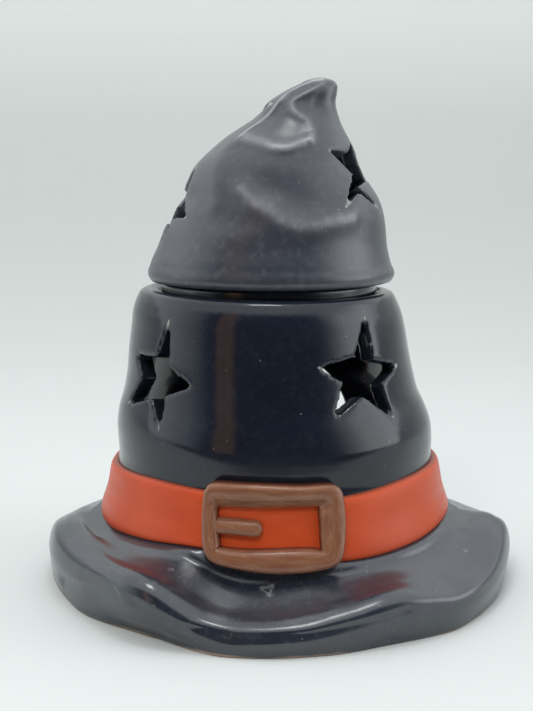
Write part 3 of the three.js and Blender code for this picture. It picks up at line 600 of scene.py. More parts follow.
brim = dict(
    footWidth=6, footLip=0.9, lip=2.6, steps=720, topPoints=96, underPoints=14,
    footInset=0.8, footRise=1.2, floorLap=3, grooveSoft=0.8,
    seamRise=2.5, seamLap=1.2,  # where it meets the crown, under the band
    # from the crown down to the shelf: radius, rise over the shelf and least depth under the band
    fillet=[(58.6, 2.7, 0.45), (60, 0.9, 0.75), (61.6, 0.1, 1)],
    # on the outer wall, the radii and the heights over which the waves come in, and the grooves
    waveRadii=(60, 66), waveHeights=(1.5, 5), grooveRadii=(68, 71), grooveHeights=(0.3, 2),
    doorwaySoft=0.4, doorwayEnd=(58, 62), doorwayRows=26,
    wave=0.3, waveLift=0.4, waveGrain=17, waveSeed=9.1,  # slow unevenness of the outer wall
    # azimuth, radius of the foot and of the wall, radius and height of the crest, height of the shelf
    rows=[
        (-180, 74.6, 75.8, 72.2, 9, 15.2), (-155, 74.2, 75.6, 71.6, 9.2, 15),
        (-130, 73.8, 75.2, 70.9, 10, 15.2), (-112, 73.4, 74.8, 70.2, 11.8, 16.2),
        (-100, 73.2, 74.5, 69.8, 13.8, 17.4), (-90, 73.2, 74.5, 69.6, 16.4, 18.7),
        (-80, 73.2, 74.5, 69.6, 19.2, 19.4), (-72, 72.8, 74.6, 69.7, 20.1, 19.6),
        (-62, 72.6, 74.9, 69.9, 19.7, 19), (-52, 73.2, 75.2, 70.8, 18.7, 19.2),
        (-44, 72.5, 76.1, 73.4, 18.2, 19.8), (-37, 71.6, 77.3, 75.4, 18.5, 20.2),
        (-31, 71.7, 78.2, 76.4, 18.6, 20.4), (-27, 72.1, 78.3, 76.4, 17.5, 20),
        (-22, 73.8, 77.6, 75.6, 13.8, 18.2), (-17, 75.6, 77.4, 75, 10.2, 15.6),
        (-12, 77, 77.8, 75, 8.4, 14.1), (-5, 77, 78, 75.2, 8.1, 13.4), (3, 76.6, 77.8, 75.1, 8.9, 14.1),
        (8, 76.2, 77.5, 74.8, 9.8, 14.7), (12, 76.1, 77.3, 74.7, 11, 15), (17, 75.5, 77.2, 74.6, 12.2, 15.4),
        (23, 74.8, 77.2, 74.8, 13.9, 16.1), (28, 75, 77.5, 75.2, 14.2, 16.6), (35, 76, 78, 76, 12.6, 16.6),
        (41, 77.2, 78.5, 76.4, 11.4, 16.4), (48, 76.6, 78.2, 76, 11.6, 16.6),
        (56, 75.9, 77.8, 75, 12.8, 17.6), (64, 75.5, 77.4, 73.6, 15.4, 19), (72, 75, 77.2, 72.4, 18.4, 20.3),
        (79, 74.7, 77.1, 72, 19.7, 20.6), (90, 74.6, 76.9, 71.8, 16.5, 18.9),
        (100, 74.6, 76.8, 71.7, 13.8, 17.4), (112, 74.7, 76.8, 71.8, 11.8, 16.2),
        (130, 75, 76.8, 72, 10, 15.2), (155, 75, 76.6, 72.2, 9.2, 15)],
    # where the crest is a tight lip, and how deep the shelf sags before it
    lipTurns=[-50, -36, 24, 34], lipShares=[0, 1, 1, 0],
    hollowTurns=[-60, -44, -30, -18, 14, 30, 48], hollowDepths=[0, 0.5, 0.3, 0, 0, -0.3, 0],
    # chips in the glaze: azimuth, radius and reach, each a pit with a raised pale rim
    chips=[(-2.3, 61.4, 1.15), (-27, 66, 0.5), (58, 68, 0.45)],
    # a chip's rim: height, where and how wide, all against the reach; its pit: depth and width; its pale ring
    chipRim=(0.16, 1, 0.35), chipPit=(1.6, 0.6), chipPale=(0.45, 0.9, 0.25), chipNarrow=0.8, chipLobes=0.3,
    # grooves under the turned-down lip: corners of azimuth and height, depth, reach above and below
    grooves=[
        ([(-36, 14.4), (-40, 13), (-43.5, 11.4), (-48, 10), (-55, 8.2), (-61, 7)], 0.8, 1.4, 3.4),
        ([(-30, 13), (-20, 7.8), (-8, 6.2), (6, 6.8), (18, 8.8), (28, 10.6)], 0.5, 0.9, 1.7)],
)


# One cut through the brim: from the crown's face over the shelf, the crest and the foot to the recess
def brimSection(azimuth):
    foot, wall, crestRadius, crest, shelf = roundTurns(brim["rows"], azimuth)
    base = hearth["height"]
    lowShare, _ = roundRows(band["shares"], np.array(azimuth))
    bandLow = band["low"] + band["height"] * lowShare
    seam = bandLow + brim["seamRise"]
    seamRadius, _, _ = crownRadius(np.array(azimuth), np.array((seam - base) / crown["height"]))
    side = fadeIn(abs(azimuth), 20, 60)
    behind = fadeIn(abs(azimuth), 105, 130)
    fillet = [(radius, min(shelf + rise, bandLow - under)) for radius, rise, under in brim["fillet"]]
    reach = wall - crestRadius
    hollow = np.interp(azimuth, brim["hollowTurns"], brim["hollowDepths"])
    middle = (shelf + crest) / 2 - 0.4 + 1.1 * side - hollow
    # beyond the crest: a tight lip over a steep wall, or a slow bend
    tight = np.interp(azimuth, brim["lipTurns"], brim["lipShares"])
    lip = brim["lip"]
    lipPoints = np.array([
        (crestRadius - 1.3, crest + 0.5), (crestRadius + 0.25 * lip, crest - 0.16 * lip),
        (crestRadius + 0.68 * lip, crest - 0.55 * lip), (crestRadius + 0.95 * lip, crest - 1.25 * lip),
        (foot + 0.55 * (wall - foot), 0.3 * crest)])
    slowPoints = np.array([
        (crestRadius - 1.1, crest + 0.35 + 0.25 * side + 0.15 * behind),
        (crestRadius + 0.3, crest - 0.1 - 0.2 * behind),
        (wall - 0.42 * reach, crest - (0.32 + 0.2 * behind) * reach), (wall - 0.03 * reach, crest * 0.66),
        (wall - 0.3 * (wall - foot), crest * 0.36)])
    edge = [tuple(point) for point in slowPoints + (lipPoints - slowPoints) * tight]
    footSide = foot + 0.35 * (wall - foot) * (1 - 0.6 * tight)
    top = smoothLine([
        (seamRadius, seam), (seamRadius + 1.5, bandLow + 0.4), *fillet,
        ((fillet[-1][0] + crestRadius) / 2, middle), *edge, (footSide, crest * 0.12 + 0.2), (foot, 0.35),
        (foot - brim["footLip"], 0)], brim["topPoints"])
    ring = foot - brim["footLip"] - brim["footWidth"]
    under = base - hearth["thickness"]
    bottom = smoothLine([
        (ring, 0), (ring - brim["footInset"], brim["footRise"]), (crown["radius"] * 1.1, under * 0.7),
        (crown["radius"] * 0.95, under)], brim["underPoints"])
    return np.concatenate([[(seamRadius - brim["seamLap"], seam)], top, bottom])


# Depth of the grooves at spots on the brim's outer wall, sharp above and slow below
def grooveDepth(azimuth, height, radius):
    total = np.zeros(height.shape)
    for corners, depth, above, below in brim["grooves"]:
        gap, over = lineGap(azimuth, height, radius, corners)
        blend = fadeIn(over, -brim["grooveSoft"], brim["grooveSoft"])
        total += depth * np.exp(-(gap / (below + (above - below) * blend)) ** 2)
    return total


# The wavy brim with the hearth's floor and a recess below
def makeBrim():
    azimuths = np.linspace(-180, 180, brim["steps"], endpoint=False)
    sections = np.array([brimSection(a) for a in azimuths])
    radii, heights = sections[:, :, 0].T, sections[:, :, 1].T
    outerWall = fadeIn(radii, *brim["grooveRadii"]) * fadeIn(heights, *brim["grooveHeights"])
    radii = radii - grooveDepth(azimuths[None, :], heights, radii) * outerWall
    rings = polar(azimuths[None, :], radii, 0, heights)
    base = hearth["height"]
    halfWidth, soft = arch["halfWidth"], brim["doorwaySoft"]
    between = 1 - fadeIn(np.abs(rings[..., 0]), halfWidth - soft, halfWidth + soft)
    doorway = (rings[..., 1] > 0) * between * (1 - fadeIn(radii, *brim["doorwayEnd"]))
    high = np.arange(len(rings))[:, None] < brim["doorwayRows"]
    rings[..., 2] = np.where(high, rings[..., 2] + (base - rings[..., 2]) * doorway, rings[..., 2])
    wave = handMade(rings, brim["waveGrain"], brim["waveSeed"]) * brim["wave"]
    wave = wave * fadeIn(radii, *brim["waveRadii"]) * fadeIn(heights, *brim["waveHeights"])
    rings = polar(azimuths[None, :], radii + wave, 0, rings[..., 2] + wave * brim["waveLift"])
    pale = np.zeros(radii.shape)
    rise, rim, rimWidth = brim["chipRim"]
    depth, pitWidth = brim["chipPit"]
    strength, ring, ringWidth = brim["chipPale"]
    for turn, spot, reach in brim["chips"]:
        across = np.radians(azimuths[None, :] - turn) * radii
        gap = np.hypot(across * brim["chipNarrow"], radii - spot) / reach + 10 * (heights < 5)
        gap = gap * (1 + brim["chipLobes"] * np.sin(3 * np.arctan2(across, radii - spot) + turn))
        bump = np.exp(-((gap - rim) / rimWidth) ** 2) - depth * np.exp(-(gap / pitWidth) ** 2)
        rings[..., 2] += rise * reach * bump
        pale += strength * np.exp(-((gap - ring) / ringWidth) ** 2)
    inside = polar(azimuths, crown["radius"] - brim["floorLap"], 0, base)[None]
    rings = np.concatenate([inside, rings])
    middle, under = (0, 0, base), (0, 0, base - hearth["thickness"])
    piece = shellFromRings("brimCasting", rings, tips=(middle, under))
    setAttribute(piece, "chipRimAndPaintedHighlight", np.concatenate([np.zeros(brim["steps"]), pale.ravel(), [0, 0]]))
    return smoothed(piece)


band = dict(
    lift=3.2, height=18, thickness=1.8, endGap=1, steps=560,
    degree=0.95,  # how far a degree goes along the band, for the brush strokes
    # at equal steps of azimuth: shares of the height for the lower and the upper edge
    shares=[
        (0, 0.93), (-0.06, 0.93), (-0.03, 1), (0.04, 1.01), (0.04, 0.97), (0.03, 0.96),
        (0, 0.95), (-0.02, 0.95), (-0.02, 0.95), (-0.02, 0.95), (0.02, 0.96), (0.04, 0.95),
        (0.02, 0.9), (-0.04, 0.97), (0.05, 1.04), (0.13, 1.02)],
)
band["low"] = hearth["height"] + band["lift"]


# A strip in relief round the crown, from one side of the opening to the other
def makeBand():
    behind = math.asin((arch["halfWidth"] + band["endGap"]) / (crown["radius"] * crown["shares"][0][1]))
    half = 180 - math.degrees(behind)
    azimuth = np.linspace(-half, half, band["steps"])
    low, high = (band["low"] + band["height"] * roundRows(band["shares"], azimuth)).T
    # across the strip: share of its width, share of its thickness
    profile = [(0, -0.6), (0, 0.25), (0.012, 0.6), (0.035, 0.85), (0.075, 0.98), (0.13, 1.02), (0.25, 1.02),
               (0.4, 1), (0.5, 0.99), (0.6, 1), (0.75, 1.02), (0.87, 1.02), (0.925, 0.98), (0.965, 0.85),
               (0.988, 0.6), (1, 0.25), (1, -0.6)]
    rings = []
    for along, rise in profile:
        level = low + (high - low) * along
        share = (level - hearth["height"]) / crown["height"]
        rings.append(crownFace(azimuth, share, -(hearth["gap"] + band["thickness"] * rise)))
    rings = np.array(rings)
    rowCount, stepCount = rings.shape[:2]
    row = np.arange(rowCount) * stepCount
    ends = [row.tolist(), (row[::-1] + stepCount - 1).tolist()]
    faces = ringFaces(rowCount, stepCount, loop=True, strip=True) + ends
    piece = faceOut(newObject("hatBand", rings, faces))
    setAttribute(piece, "across", np.repeat([p[0] for p in profile], stepCount))
    setAttribute(piece, "along", np.tile(azimuth, rowCount) * band["degree"])
    return smoothed(piece)


buckle = dict(
    depth=3.2, bed=2.4, steps=264, bevelHeights=(33.2, 35.2),
    # corners of the outline and of the window beside them, in x and height
    pairs=[
        ((-17.3, 20.1), (-15.8, 24.4)), ((-11.7, 19.0), (-11.7, 24.2)), ((-4.7, 18.2), (-5.2, 24.3)),
        ((3.8, 17.9), (2.4, 24.6)), ((12.2, 18.4), (8.9, 24.5)), ((16.5, 19.5), (11.6, 24.1)),
        ((18.2, 21.4), (12.3, 24.0)), ((19.0, 25.0), (12.3, 25.8)), ((19.4, 30.1), (12.1, 29.7)),
        ((19.0, 35.7), (11.8, 33.4)), ((18.4, 39.4), (11.9, 35.2)), ((16.7, 41.4), (11.1, 35.7)),
        ((13.7, 42.0), (8.0, 35.6)), ((6.6, 42.0), (3.8, 35.7)), ((-1.8, 42.4), (-3.3, 35.5)),
        ((-10.3, 42.5), (-10.3, 35.4)), ((-17.3, 42.3), (-15.4, 35.3)), ((-19.5, 40.8), (-16.5, 35.0)),
        ((-20.3, 38.5), (-16.6, 34.0)), ((-20.7, 32.9), (-16.4, 31.4)), ((-20.7, 25.8), (-16.0, 26.9)),
        ((-19.6, 22.0), (-15.8, 25.0))],
    # across a bar: share of its width, shares of its depth on the plain bars and on the bevelled upper one
    section=[(0, -0.3, -0.3), (0, 0.32, 0.32), (0.02, 0.56, 0.56), (0.055, 0.77, 0.77), (0.12, 0.92, 0.93),
             (0.22, 0.99, 1.01), (0.4, 1.01, 1.02), (0.55, 1.0, 0.98), (0.66, 0.99, 0.84), (0.78, 0.97, 0.68),
             (0.88, 0.88, 0.52), (0.95, 0.7, 0.38), (0.985, 0.45, 0.24), (1, 0.15, 0.08), (1, -0.3, -0.3)],
)
prong = dict(
    start=-18.2, end=-3.9, low=27.6, high=32.1, depth=2.7, bed=2.1, steps=46, around=22,
    squareness=0.72, tipLength=2.2, tipPower=2.6, sway=0.12,
)


def loopThrough(corners, steps):
    return roundRows(corners, np.linspace(0, 360, steps, endpoint=False))


# A point over the crown's front at a distance across, a height and a stand-off
def overFront(x, height, standOff):
    share = (height - hearth["height"]) / crown["height"]
    reach = crownRadius(np.zeros_like(share), share)[0] + buckle["bed"]
    azimuth = np.degrees(np.arcsin(x / reach))
    return crownFace(azimuth, share, -standOff)


def makeBuckleFrame():
    outer = loopThrough([pair[0] for pair in buckle["pairs"]], buckle["steps"])
    window = loopThrough([pair[1] for pair in buckle["pairs"]], buckle["steps"])
    upper = fadeIn(window[:, 1], *buckle["bevelHeights"])
    rings = []
    for across, plain, bevelled in buckle["section"]:
        spot = outer + (window - outer) * across
        rise = plain + (bevelled - plain) * upper
        rings.append(overFront(spot[:, 0], spot[:, 1], buckle["bed"] + buckle["depth"] * rise))
    piece = shellFromRings("buckleFrame", np.array(rings), loop=True)
    steps = np.linalg.norm(np.roll(outer, -1, 0) - outer, axis=1)
    along = np.concatenate([[0], np.cumsum(steps)[:-1]])
    setAttribute(piece, "along", np.tile(along, len(rings)))
    setAttribute(piece, "across", np.repeat([s[0] for s in buckle["section"]], buckle["steps"]))
    return smoothed(piece)


# Pushes a sine or cosine outwards, so that a circle becomes a square with round corners
def squared(value):
    return np.sign(value) * np.abs(value) ** prong["squareness"]


def makeBuckleProng():
    sweep = np.linspace(0, 1, prong["steps"])
    x = prong["start"] + (prong["end"] - prong["start"]) * sweep
    left = np.clip((prong["end"] - x) / prong["tipLength"], 0, 1)
    full = np.sqrt(1 - (1 - left) ** prong["tipPower"])
    middle = (prong["low"] + prong["high"]) / 2 + prong["sway"] * np.sin(sweep * 5)
    half = (prong["high"] - prong["low"]) / 2 * full
    turn = np.linspace(0, 2 * math.pi, prong["around"], endpoint=False)
    rings = []
    for angle in turn:
        side, up = squared(math.cos(angle)), squared(math.sin(angle))
        rise = prong["depth"] * up * (0.35 + 0.65 * full)
        rings.append(overFront(x, middle + half * side, prong["bed"] + rise))
    rings = np.swapaxes(np.array(rings), 0, 1)
    piece = shellFromRings("buckleProng", rings, tips=(rings[0].mean(0), rings[-1].mean(0)))
    setAttribute(piece, "along", np.concatenate([np.repeat(x, prong["around"]), x[[0, -1]]]))
    setAttribute(piece, "across", np.concatenate([np.tile(turn / math.pi, prong["steps"]), [0, 0]]))
    return smoothed(piece)


# A tree for Geometry Nodes with its sizes as named inputs, ending in one real mesh of one material
class Growth:
    def __init__(self, name):
        self.tree = bpy.data.node_groups.new(name, "GeometryNodeTree")
        self.tree.interface.new_socket("Geometry", in_out="OUTPUT", socket_type="NodeSocketGeometry")
        self.tree.interface.new_socket("Geometry", in_out="INPUT", socket_type="NodeSocketGeometry")
        self.start = self.tree.nodes.new("NodeGroupInput")
        self.end = self.tree.nodes.new("NodeGroupOutput")
        self.values = {}

    def size(self, name, value, kind="NodeSocketFloat"):
        socket = self.tree.interface.new_socket(name, in_out="INPUT", socket_type=kind)
        self.values[socket.identifier] = value
        return self.start.outputs[name]

    def add(self, kind, inputs=None, **settings):
        return addNode(self.tree, kind, inputs, **settings)

    def maths(self, operation, a, b=0.0):
        return mathOf(self.tree, operation, a, b)

    def grow(self, name, geometry, material, base=None):
        real = self.add("GeometryNodeRealizeInstances", {"Geometry": geometry})
        coat = self.add("GeometryNodeSetMaterial", {"Geometry": real.outputs[0], "Material": material})
        self.tree.links.new(coat.outputs[0], self.end.inputs[0])
        if base is None:
            base = bpy.data.meshes.new(name)
        piece = bpy.data.objects.new(name, base.copy())
        bpy.context.scene.collection.objects.link(piece)
        grown = piece.modifiers.new("growth", "NODES")
        grown.node_group = self.tree
        for identifier, value in self.values.items():
            grown[identifier] = value
        return applied(piece)


def addNode(tree, kind, inputs=None, **settings):
    made = tree.nodes.new(kind)
    for key, value in settings.items():
        setattr(made, key, value)
    for key, value in (inputs or {}).items():
        socket = made.inputs[key]
        if isinstance(value, bpy.types.NodeSocket):
            tree.links.new(value, socket)
        else:
            socket.default_value = value
    return made


tealight = dict(
    radius=19, height=16, foil=0.4, roll=0.8, waxShare=0.82, sink=0.8, tab=6, collar=2.4, wick=0.8,
    stand=5, steps=240, fit=0.3, floorRise=0.5,  # the floor of the cup is pressed up a little
    flutes=60, fluteDepth=0.14, fluteLow=1.6, fluteTopShare=0.86, wallReach=1.2,
)
tealight["base"] = hearth["height"] + hearth["gap"]


# Wax with a sunk top, a bore for the wick and a hollow for its tab
def makeWax():
    base, out = tealight["base"], tealight["radius"] - tealight["foil"] - tealight["fit"]
    low = base + tealight["foil"] + 0.9
    top = base + tealight["height"] * tealight["waxShare"]
    bore, sink = tealight["wick"] + 0.15, tealight["sink"]
    tabEdge = tealight["tab"] + 0.5
    profile = [
        (tabEdge, low), (out - 0.4, low, 0.6), (out, low + 1.4, 0.6), (out, top + 0.25, 0.3),
        (out - 1.4, top - 0.35, 1.2), (8, top - sink * 0.7, 3), (2.6, top - sink, 1),
        (bore + 0.1, top - sink * 0.4, 0.4), (bore, top - 2), (bore, base + 4.2),
        (2.2, base + 4.1), (2.2, base + 1.6), (tabEdge, base + 1.6)]
    return lathe("tealightWax", roundedProfile(profile, 5), tealight["steps"] // 2)


# The steel disc under the wick, with a collar that holds it
def makeTab():
    base = tealight["base"] + tealight["foil"] + 0.35
    foil, bore = tealight["foil"], tealight["wick"] + 0.2
    edge, collar = tealight["tab"] - 0.2, base + tealight["collar"] - 0.3
    profile = [
        (0, base), (edge, base, 0.1), (edge, base + foil, 0.1), (bore + 0.6, base + foil, 0.4),
        (bore + 0.4, collar, 0.15), (bore, collar, 0.1), (bore, base + foil), (0, base + foil)]
    return lathe("wickTab", roundedProfile(profile), tealight["steps"] // 4)


wick = dict(strands=3, strandRadius=0.42, coreRadius=0.36, turns=7, turnSteps=24, around=8)


# Strands that each follow a helix round the wick's axis
def makeWick(material):
    bottom = tealight["base"] + tealight["foil"] * 2 + 0.5
    height = tealight["height"] * tealight["waxShare"] + tealight["stand"] - tealight["foil"] * 2 - 0.9
    growth = Growth("braidedWick")
    tall = growth.size("Height", height * mm)
    core = growth.size("Core Radius", wick["coreRadius"] * mm)
    thin = growth.size("Strand Radius", wick["strandRadius"] * mm)
    strands = growth.size("Strands", wick["strands"], "NodeSocketInt")
    twist = growth.size("Turns", float(wick["turns"]))
    helix = growth.add("GeometryNodeCurveSpiral", {
        "Resolution": wick["turnSteps"], "Rotations": twist, "Start Radius": core, "End Radius": core,
        "Height": tall})
    strand = growth.add("GeometryNodeCurvePrimitiveCircle", {"Resolution": wick["around"], "Radius": thin})
    cord = growth.add("GeometryNodeCurveToMesh", {
        "Curve": helix.outputs[0], "Profile Curve": strand.outputs[0], "Fill Caps": True})
    points = growth.add("GeometryNodePoints", {"Count": strands})
    index = growth.add("GeometryNodeInputIndex")
    share = growth.maths("DIVIDE", index.outputs[0], strands)
    turn = growth.add("ShaderNodeCombineXYZ", {"Z": growth.maths("MULTIPLY", share, 2 * math.pi)})
    copies = growth.add("GeometryNodeInstanceOnPoints", {
        "Points": points.outputs[0], "Instance": cord.outputs[0], "Rotation": turn.outputs[0]})
    place = growth.add("GeometryNodeTransform", {
        "Geometry": copies.outputs[0], "Translation": (axisX, axisY, bottom * mm)})
    return smoothed(growth.grow("tealightWick", place.outputs[0], material))


# The drawn foil cup, its wall fluted by a rule: the depth follows the cosine of the turn round the axis
def makeCup(material):
    base, radius, high, foil = tealight["base"], tealight["radius"], tealight["height"], tealight["foil"]
    roll, floor, inner = tealight["roll"], tealight["base"] + tealight["floorRise"], radius - foil
    profile = [
        (0, floor), (radius - 5, floor, 0.5), (radius - 4.2, base, 0.5), (radius - 0.4, base, 0.5),
        (radius - 0.3, base + 1, 0.5), (radius - 0.25, base + high * 0.3), (radius - 0.2, base + high * 0.55),
        (radius - 0.1, base + high - roll - 0.6, 0.3), (radius + roll * 0.4, base + high - roll * 0.6, 0.5),
        (radius, base + high, 0.5), (inner, base + high - 0.3, 0.3), (inner - 0.1, base + high * 0.55),
        (inner - 0.15, base + high * 0.3), (inner - 0.2, base + foil + 0.6, 0.6),
        (radius - 4.6, base + foil + 0.4, 0.4), (0, base + foil + 0.6)]
    plain = lathe("plainCup", roundedProfile(profile, 5), tealight["steps"])
    growth = Growth("flutedCup")
    maths = growth.maths
    depth = growth.size("Flute Depth", tealight["fluteDepth"] * mm)
    count = growth.size("Flutes", float(tealight["flutes"]))
    low = growth.size("Flutes From", (base + tealight["fluteLow"]) * mm)
    top = growth.size("Flutes To", (base + high * tealight["fluteTopShare"]) * mm)
    at = growth.add("ShaderNodeSeparateXYZ", {0: growth.add("GeometryNodeInputPosition").outputs[0]}).outputs
    x = maths("SUBTRACT", at[0], axisX)
    y = maths("SUBTRACT", at[1], axisY)
    wave = maths("COSINE", maths("MULTIPLY", maths("ARCTAN2", x, y), count))
    squares = maths("ADD", maths("MULTIPLY", x, x), maths("MULTIPLY", y, y))
    out = maths("SQRT", squares)
    wall = maths("GREATER_THAN", out, (radius - tealight["wallReach"]) * mm)
    over = maths("GREATER_THAN", at[2], low)
    inside = maths("MULTIPLY", over, maths("LESS_THAN", at[2], top))
    where = maths("MULTIPLY", wall, inside)
    wave = maths("MULTIPLY", wave, depth)
    push = maths("DIVIDE", maths("MULTIPLY", wave, where), radius * mm)
    offset = growth.add("ShaderNodeCombineXYZ", {
        0: maths("MULTIPLY", x, push), 1: maths("MULTIPLY", y, push)})
    moved = growth.add("GeometryNodeSetPosition", {
        "Geometry": growth.start.outputs[0], "Offset": offset.outputs[0]})
    fluted = smoothed(growth.grow("tealightCup", moved.outputs[0], material, plain.data))
    bpy.data.objects.remove(plain)
    return fluted


def newMaterial(name, values):
    material = bpy.data.materials.new(name)
    material.use_nodes = True
    tree = material.node_tree
    shader = tree.nodes["Principled BSDF"]
    for key, value in values.items():
        shader.inputs[key].default_value = value
    return material, tree, shader


# Gives a shader its colour, roughness and fine relief
def coverShader(tree, shader, colour, rough, relief, strength, distance=0.0001):
    tree.links.new(colour, shader.inputs["Base Color"])
    tree.links.new(rough, shader.inputs["Roughness"])
    bump = addNode(tree, "ShaderNodeBump", {"Height": relief, "Strength": strength, "Distance": distance})
    tree.links.new(bump.outputs[0], shader.inputs["Normal"])


def dress(piece, material):
    piece.data.materials.clear()
    piece.data.materials.append(material)
    return piece


def noiseOf(tree, spot, scale, detail=3.0, roughness=0.5, stretch=None):
    if stretch:
        spot = addNode(tree, "ShaderNodeMapping", {"Vector": spot, "Scale": stretch}).outputs[0]
    return addNode(tree, "ShaderNodeTexNoise", {
        "Vector": spot, "Scale": scale, "Detail": detail, "Roughness": roughness}).outputs[0]


def ranged(tree, value, low, high, toLow=0.0, toHigh=1.0):
    return addNode(tree, "ShaderNodeMapRange", {
        "Value": value, "From Min": low, "From Max": high, "To Min": toLow, "To Max": toHigh}).outputs[0]


def mixed(tree, share, a, b):
    mix = addNode(tree, "ShaderNodeMix", {0: share, 6: a, 7: b}, data_type="RGBA")
    return mix.outputs[2]


def mathOf(tree, operation, a, b=0.0):
    return addNode(tree, "ShaderNodeMath", {0: a, 1: b}, operation=operation).outputs[0]


def attributeOf(tree, name):
    return addNode(tree, "ShaderNodeAttribute", attribute_name=name).outputs["Fac"]


# How many grains of each kind to a metre
glazeGrain = dict(cloud=38.0, mottle=420.0, holes=520.0, skin=900.0)
paintGrain = dict(sway=160.0, patch=55.0, grain=1100.0)
# What shows where glaze is pitted, thin or missing; at cut edges the thin colour is also a painted highlight
# on the rounded edge
bare = dict(
    pinhole=(0.55, 0.56, 0.56, 1), thin=(0.4, 0.39, 0.36, 1), clay=(0.5, 0.33, 0.23, 1), clayRough=0.8)


# Glaze with slow clouds of tone, fine mottling, pinholes, and a pale edge where it runs thin, which is also a
# painted highlight on the rounded cut edge
def glaze(name, look):
    material, tree, shader = newMaterial(name, {
        "Coat Weight": look.get("coat", 0.0), "Coat Roughness": 0.06, "IOR": look.get("index", 1.52)})
    spot = addNode(tree, "ShaderNodeTexCoord").outputs["Object"]
    cloud = noiseOf(tree, spot, glazeGrain["cloud"], 3.0, 0.55)
    mottle = noiseOf(tree, spot, glazeGrain["mottle"], 3.0, 0.6)
    colour = mixed(tree, ranged(tree, cloud, 0.3, 0.7), look["deep"], look["base"])
    colour = mixed(tree, ranged(tree, mottle, 0.5, 0.8, 0, 0.5), colour, look["haze"])
    holes = addNode(tree, "ShaderNodeTexVoronoi", {"Vector": spot, "Scale": glazeGrain["holes"]})
    chance = addNode(tree, "ShaderNodeSeparateColor", {0: holes.outputs["Color"]}).outputs
    reach = mathOf(tree, "DIVIDE", holes.outputs["Distance"], ranged(tree, chance[1], 0, 1, 0.35, 1.15))
    hole = ranged(tree, reach, 0.05, 0.11, 1, 0)
    speck = mathOf(tree, "MULTIPLY", hole, ranged(tree, chance[0], 0.8, 0.84))
    colour = mixed(tree, mathOf(tree, "MULTIPLY", speck, 0.65), colour, bare["pinhole"])
    rough = ranged(tree, cloud, 0.3, 0.7, look["roughness"] * 0.85, look["roughness"] * 1.15)
    rough = mathOf(tree, "ADD", rough, ranged(tree, mottle, 0.4, 0.8, 0, look["roughness"] * 0.25))
    # cut edges pale: thin glaze, and a painted highlight where the rounded edge would catch the light
    if look.get("edges"):
        gap = mathOf(tree, "ADD", attributeOf(tree, "cutGap"), ranged(tree, mottle, 0.3, 0.7, -0.1, 0.3))
        thin = ranged(tree, gap, look["edges"] * 0.4, look["edges"], 0.75, 0)
        colour = mixed(tree, thin, colour, bare["thin"])
    # pale lines: the raised rims of chips on the brim, and a painted highlight along the lid's ridges
    if look.get("lines"):
        line = mathOf(tree, "MULTIPLY", attributeOf(tree, "chipRimAndPaintedHighlight"), ranged(tree, mottle, 0.3, 0.7, 0.6, 1))
        colour = mixed(tree, line, colour, look["lines"])
    if look.get("foot"):
        level = addNode(tree, "ShaderNodeSeparateXYZ", {0: spot}).outputs[2]
        edge = mathOf(tree, "ADD", level, ranged(tree, cloud, 0.35, 0.65, -0.0002, 0.0009))
        clay = ranged(tree, edge, look["foot"] * 0.5 * mm, look["foot"] * mm, 0.8, 0)
        colour = mixed(tree, clay, colour, bare["clay"])
        rough = mixed(tree, clay, rough, (bare["clayRough"],) * 3 + (1,))
    skin = noiseOf(tree, spot, glazeGrain["skin"], 2.0)
    relief = mathOf(tree, "SUBTRACT", skin, mathOf(tree, "MULTIPLY", hole, 0.8))
    coverShader(tree, shader, colour, rough, relief, look["bump"], 0.00004)
    return material


# Paint laid on with a brush, its strokes along the piece
def brushed(name, look):
    material, tree, shader = newMaterial(name, {
        "IOR": look["index"], "Coat Weight": look["coat"], "Coat Roughness": 0.12})
    spot = addNode(tree, "ShaderNodeTexCoord").outputs["Object"]
    across, along = attributeOf(tree, "across"), attributeOf(tree, "along")
    sway = noiseOf(tree, spot, paintGrain["sway"], 2.0)
    way = addNode(tree, "ShaderNodeCombineXYZ", {
        0: along, 1: mathOf(tree, "ADD", across, mathOf(tree, "MULTIPLY", sway, look["sway"]))}).outputs[0]
    stroke = noiseOf(tree, way, look["strokes"], 4.0, 0.62, look["stretch"])
    patch = noiseOf(tree, spot, paintGrain["patch"])
    colour = mixed(tree, ranged(tree, patch, 0.3, 0.7), look["deep"], look["base"])
    colour = mixed(tree, ranged(tree, stroke, 0.45, 0.75, 0, look["streak"]), colour, look["light"])
    colour = mixed(tree, ranged(tree, stroke, 0.45, 0.25, 0, look["streak"]), colour, look["dark"])
    grain = noiseOf(tree, spot, paintGrain["grain"], 2.0)
    colour = mixed(tree, ranged(tree, grain, 0.62, 0.78, 0, 0.4), colour, look["light"])
    if look.get("edge"):
        low = ranged(tree, across, 0.0, look["edge"], 1, 0)
        high = ranged(tree, across, 1 - look["edge"], 1.0, 0, 1)
        colour = mixed(tree, mathOf(tree, "MAXIMUM", low, high), colour, look["edgeColour"])
    rough = ranged(tree, stroke, 0.3, 0.7, look["roughness"] * 0.8, look["roughness"] * 1.25)
    relief = mathOf(tree, "ADD", mathOf(tree, "MULTIPLY", stroke, 0.8), mathOf(tree, "MULTIPLY", grain, 0.25))
    coverShader(tree, shader, colour, rough, relief, look["bump"])
    return material


# One tone with a grain, for foil, wax, steel and cotton
def plainFinish(name, look):
    values = {"Metallic": look.get("metal", 0.0)}
    if look.get("depth"):
        values.update({"Subsurface Weight": 0.6, "Subsurface Radius": (0.004, 0.003, 0.002)})
    material, tree, shader = newMaterial(name, values)
    spot = addNode(tree, "ShaderNodeTexCoord").outputs["Object"]
    grain = noiseOf(tree, spot, look["grain"], 4.0, 0.6)
    colour = mixed(tree, ranged(tree, grain, 0.35, 0.7), look["deep"], look["base"])
    rough = ranged(tree, grain, 0.3, 0.7, look["roughness"] * 0.8, look["roughness"] * 1.2)
    coverShader(tree, shader, colour, rough, grain, look["bump"])
    return material
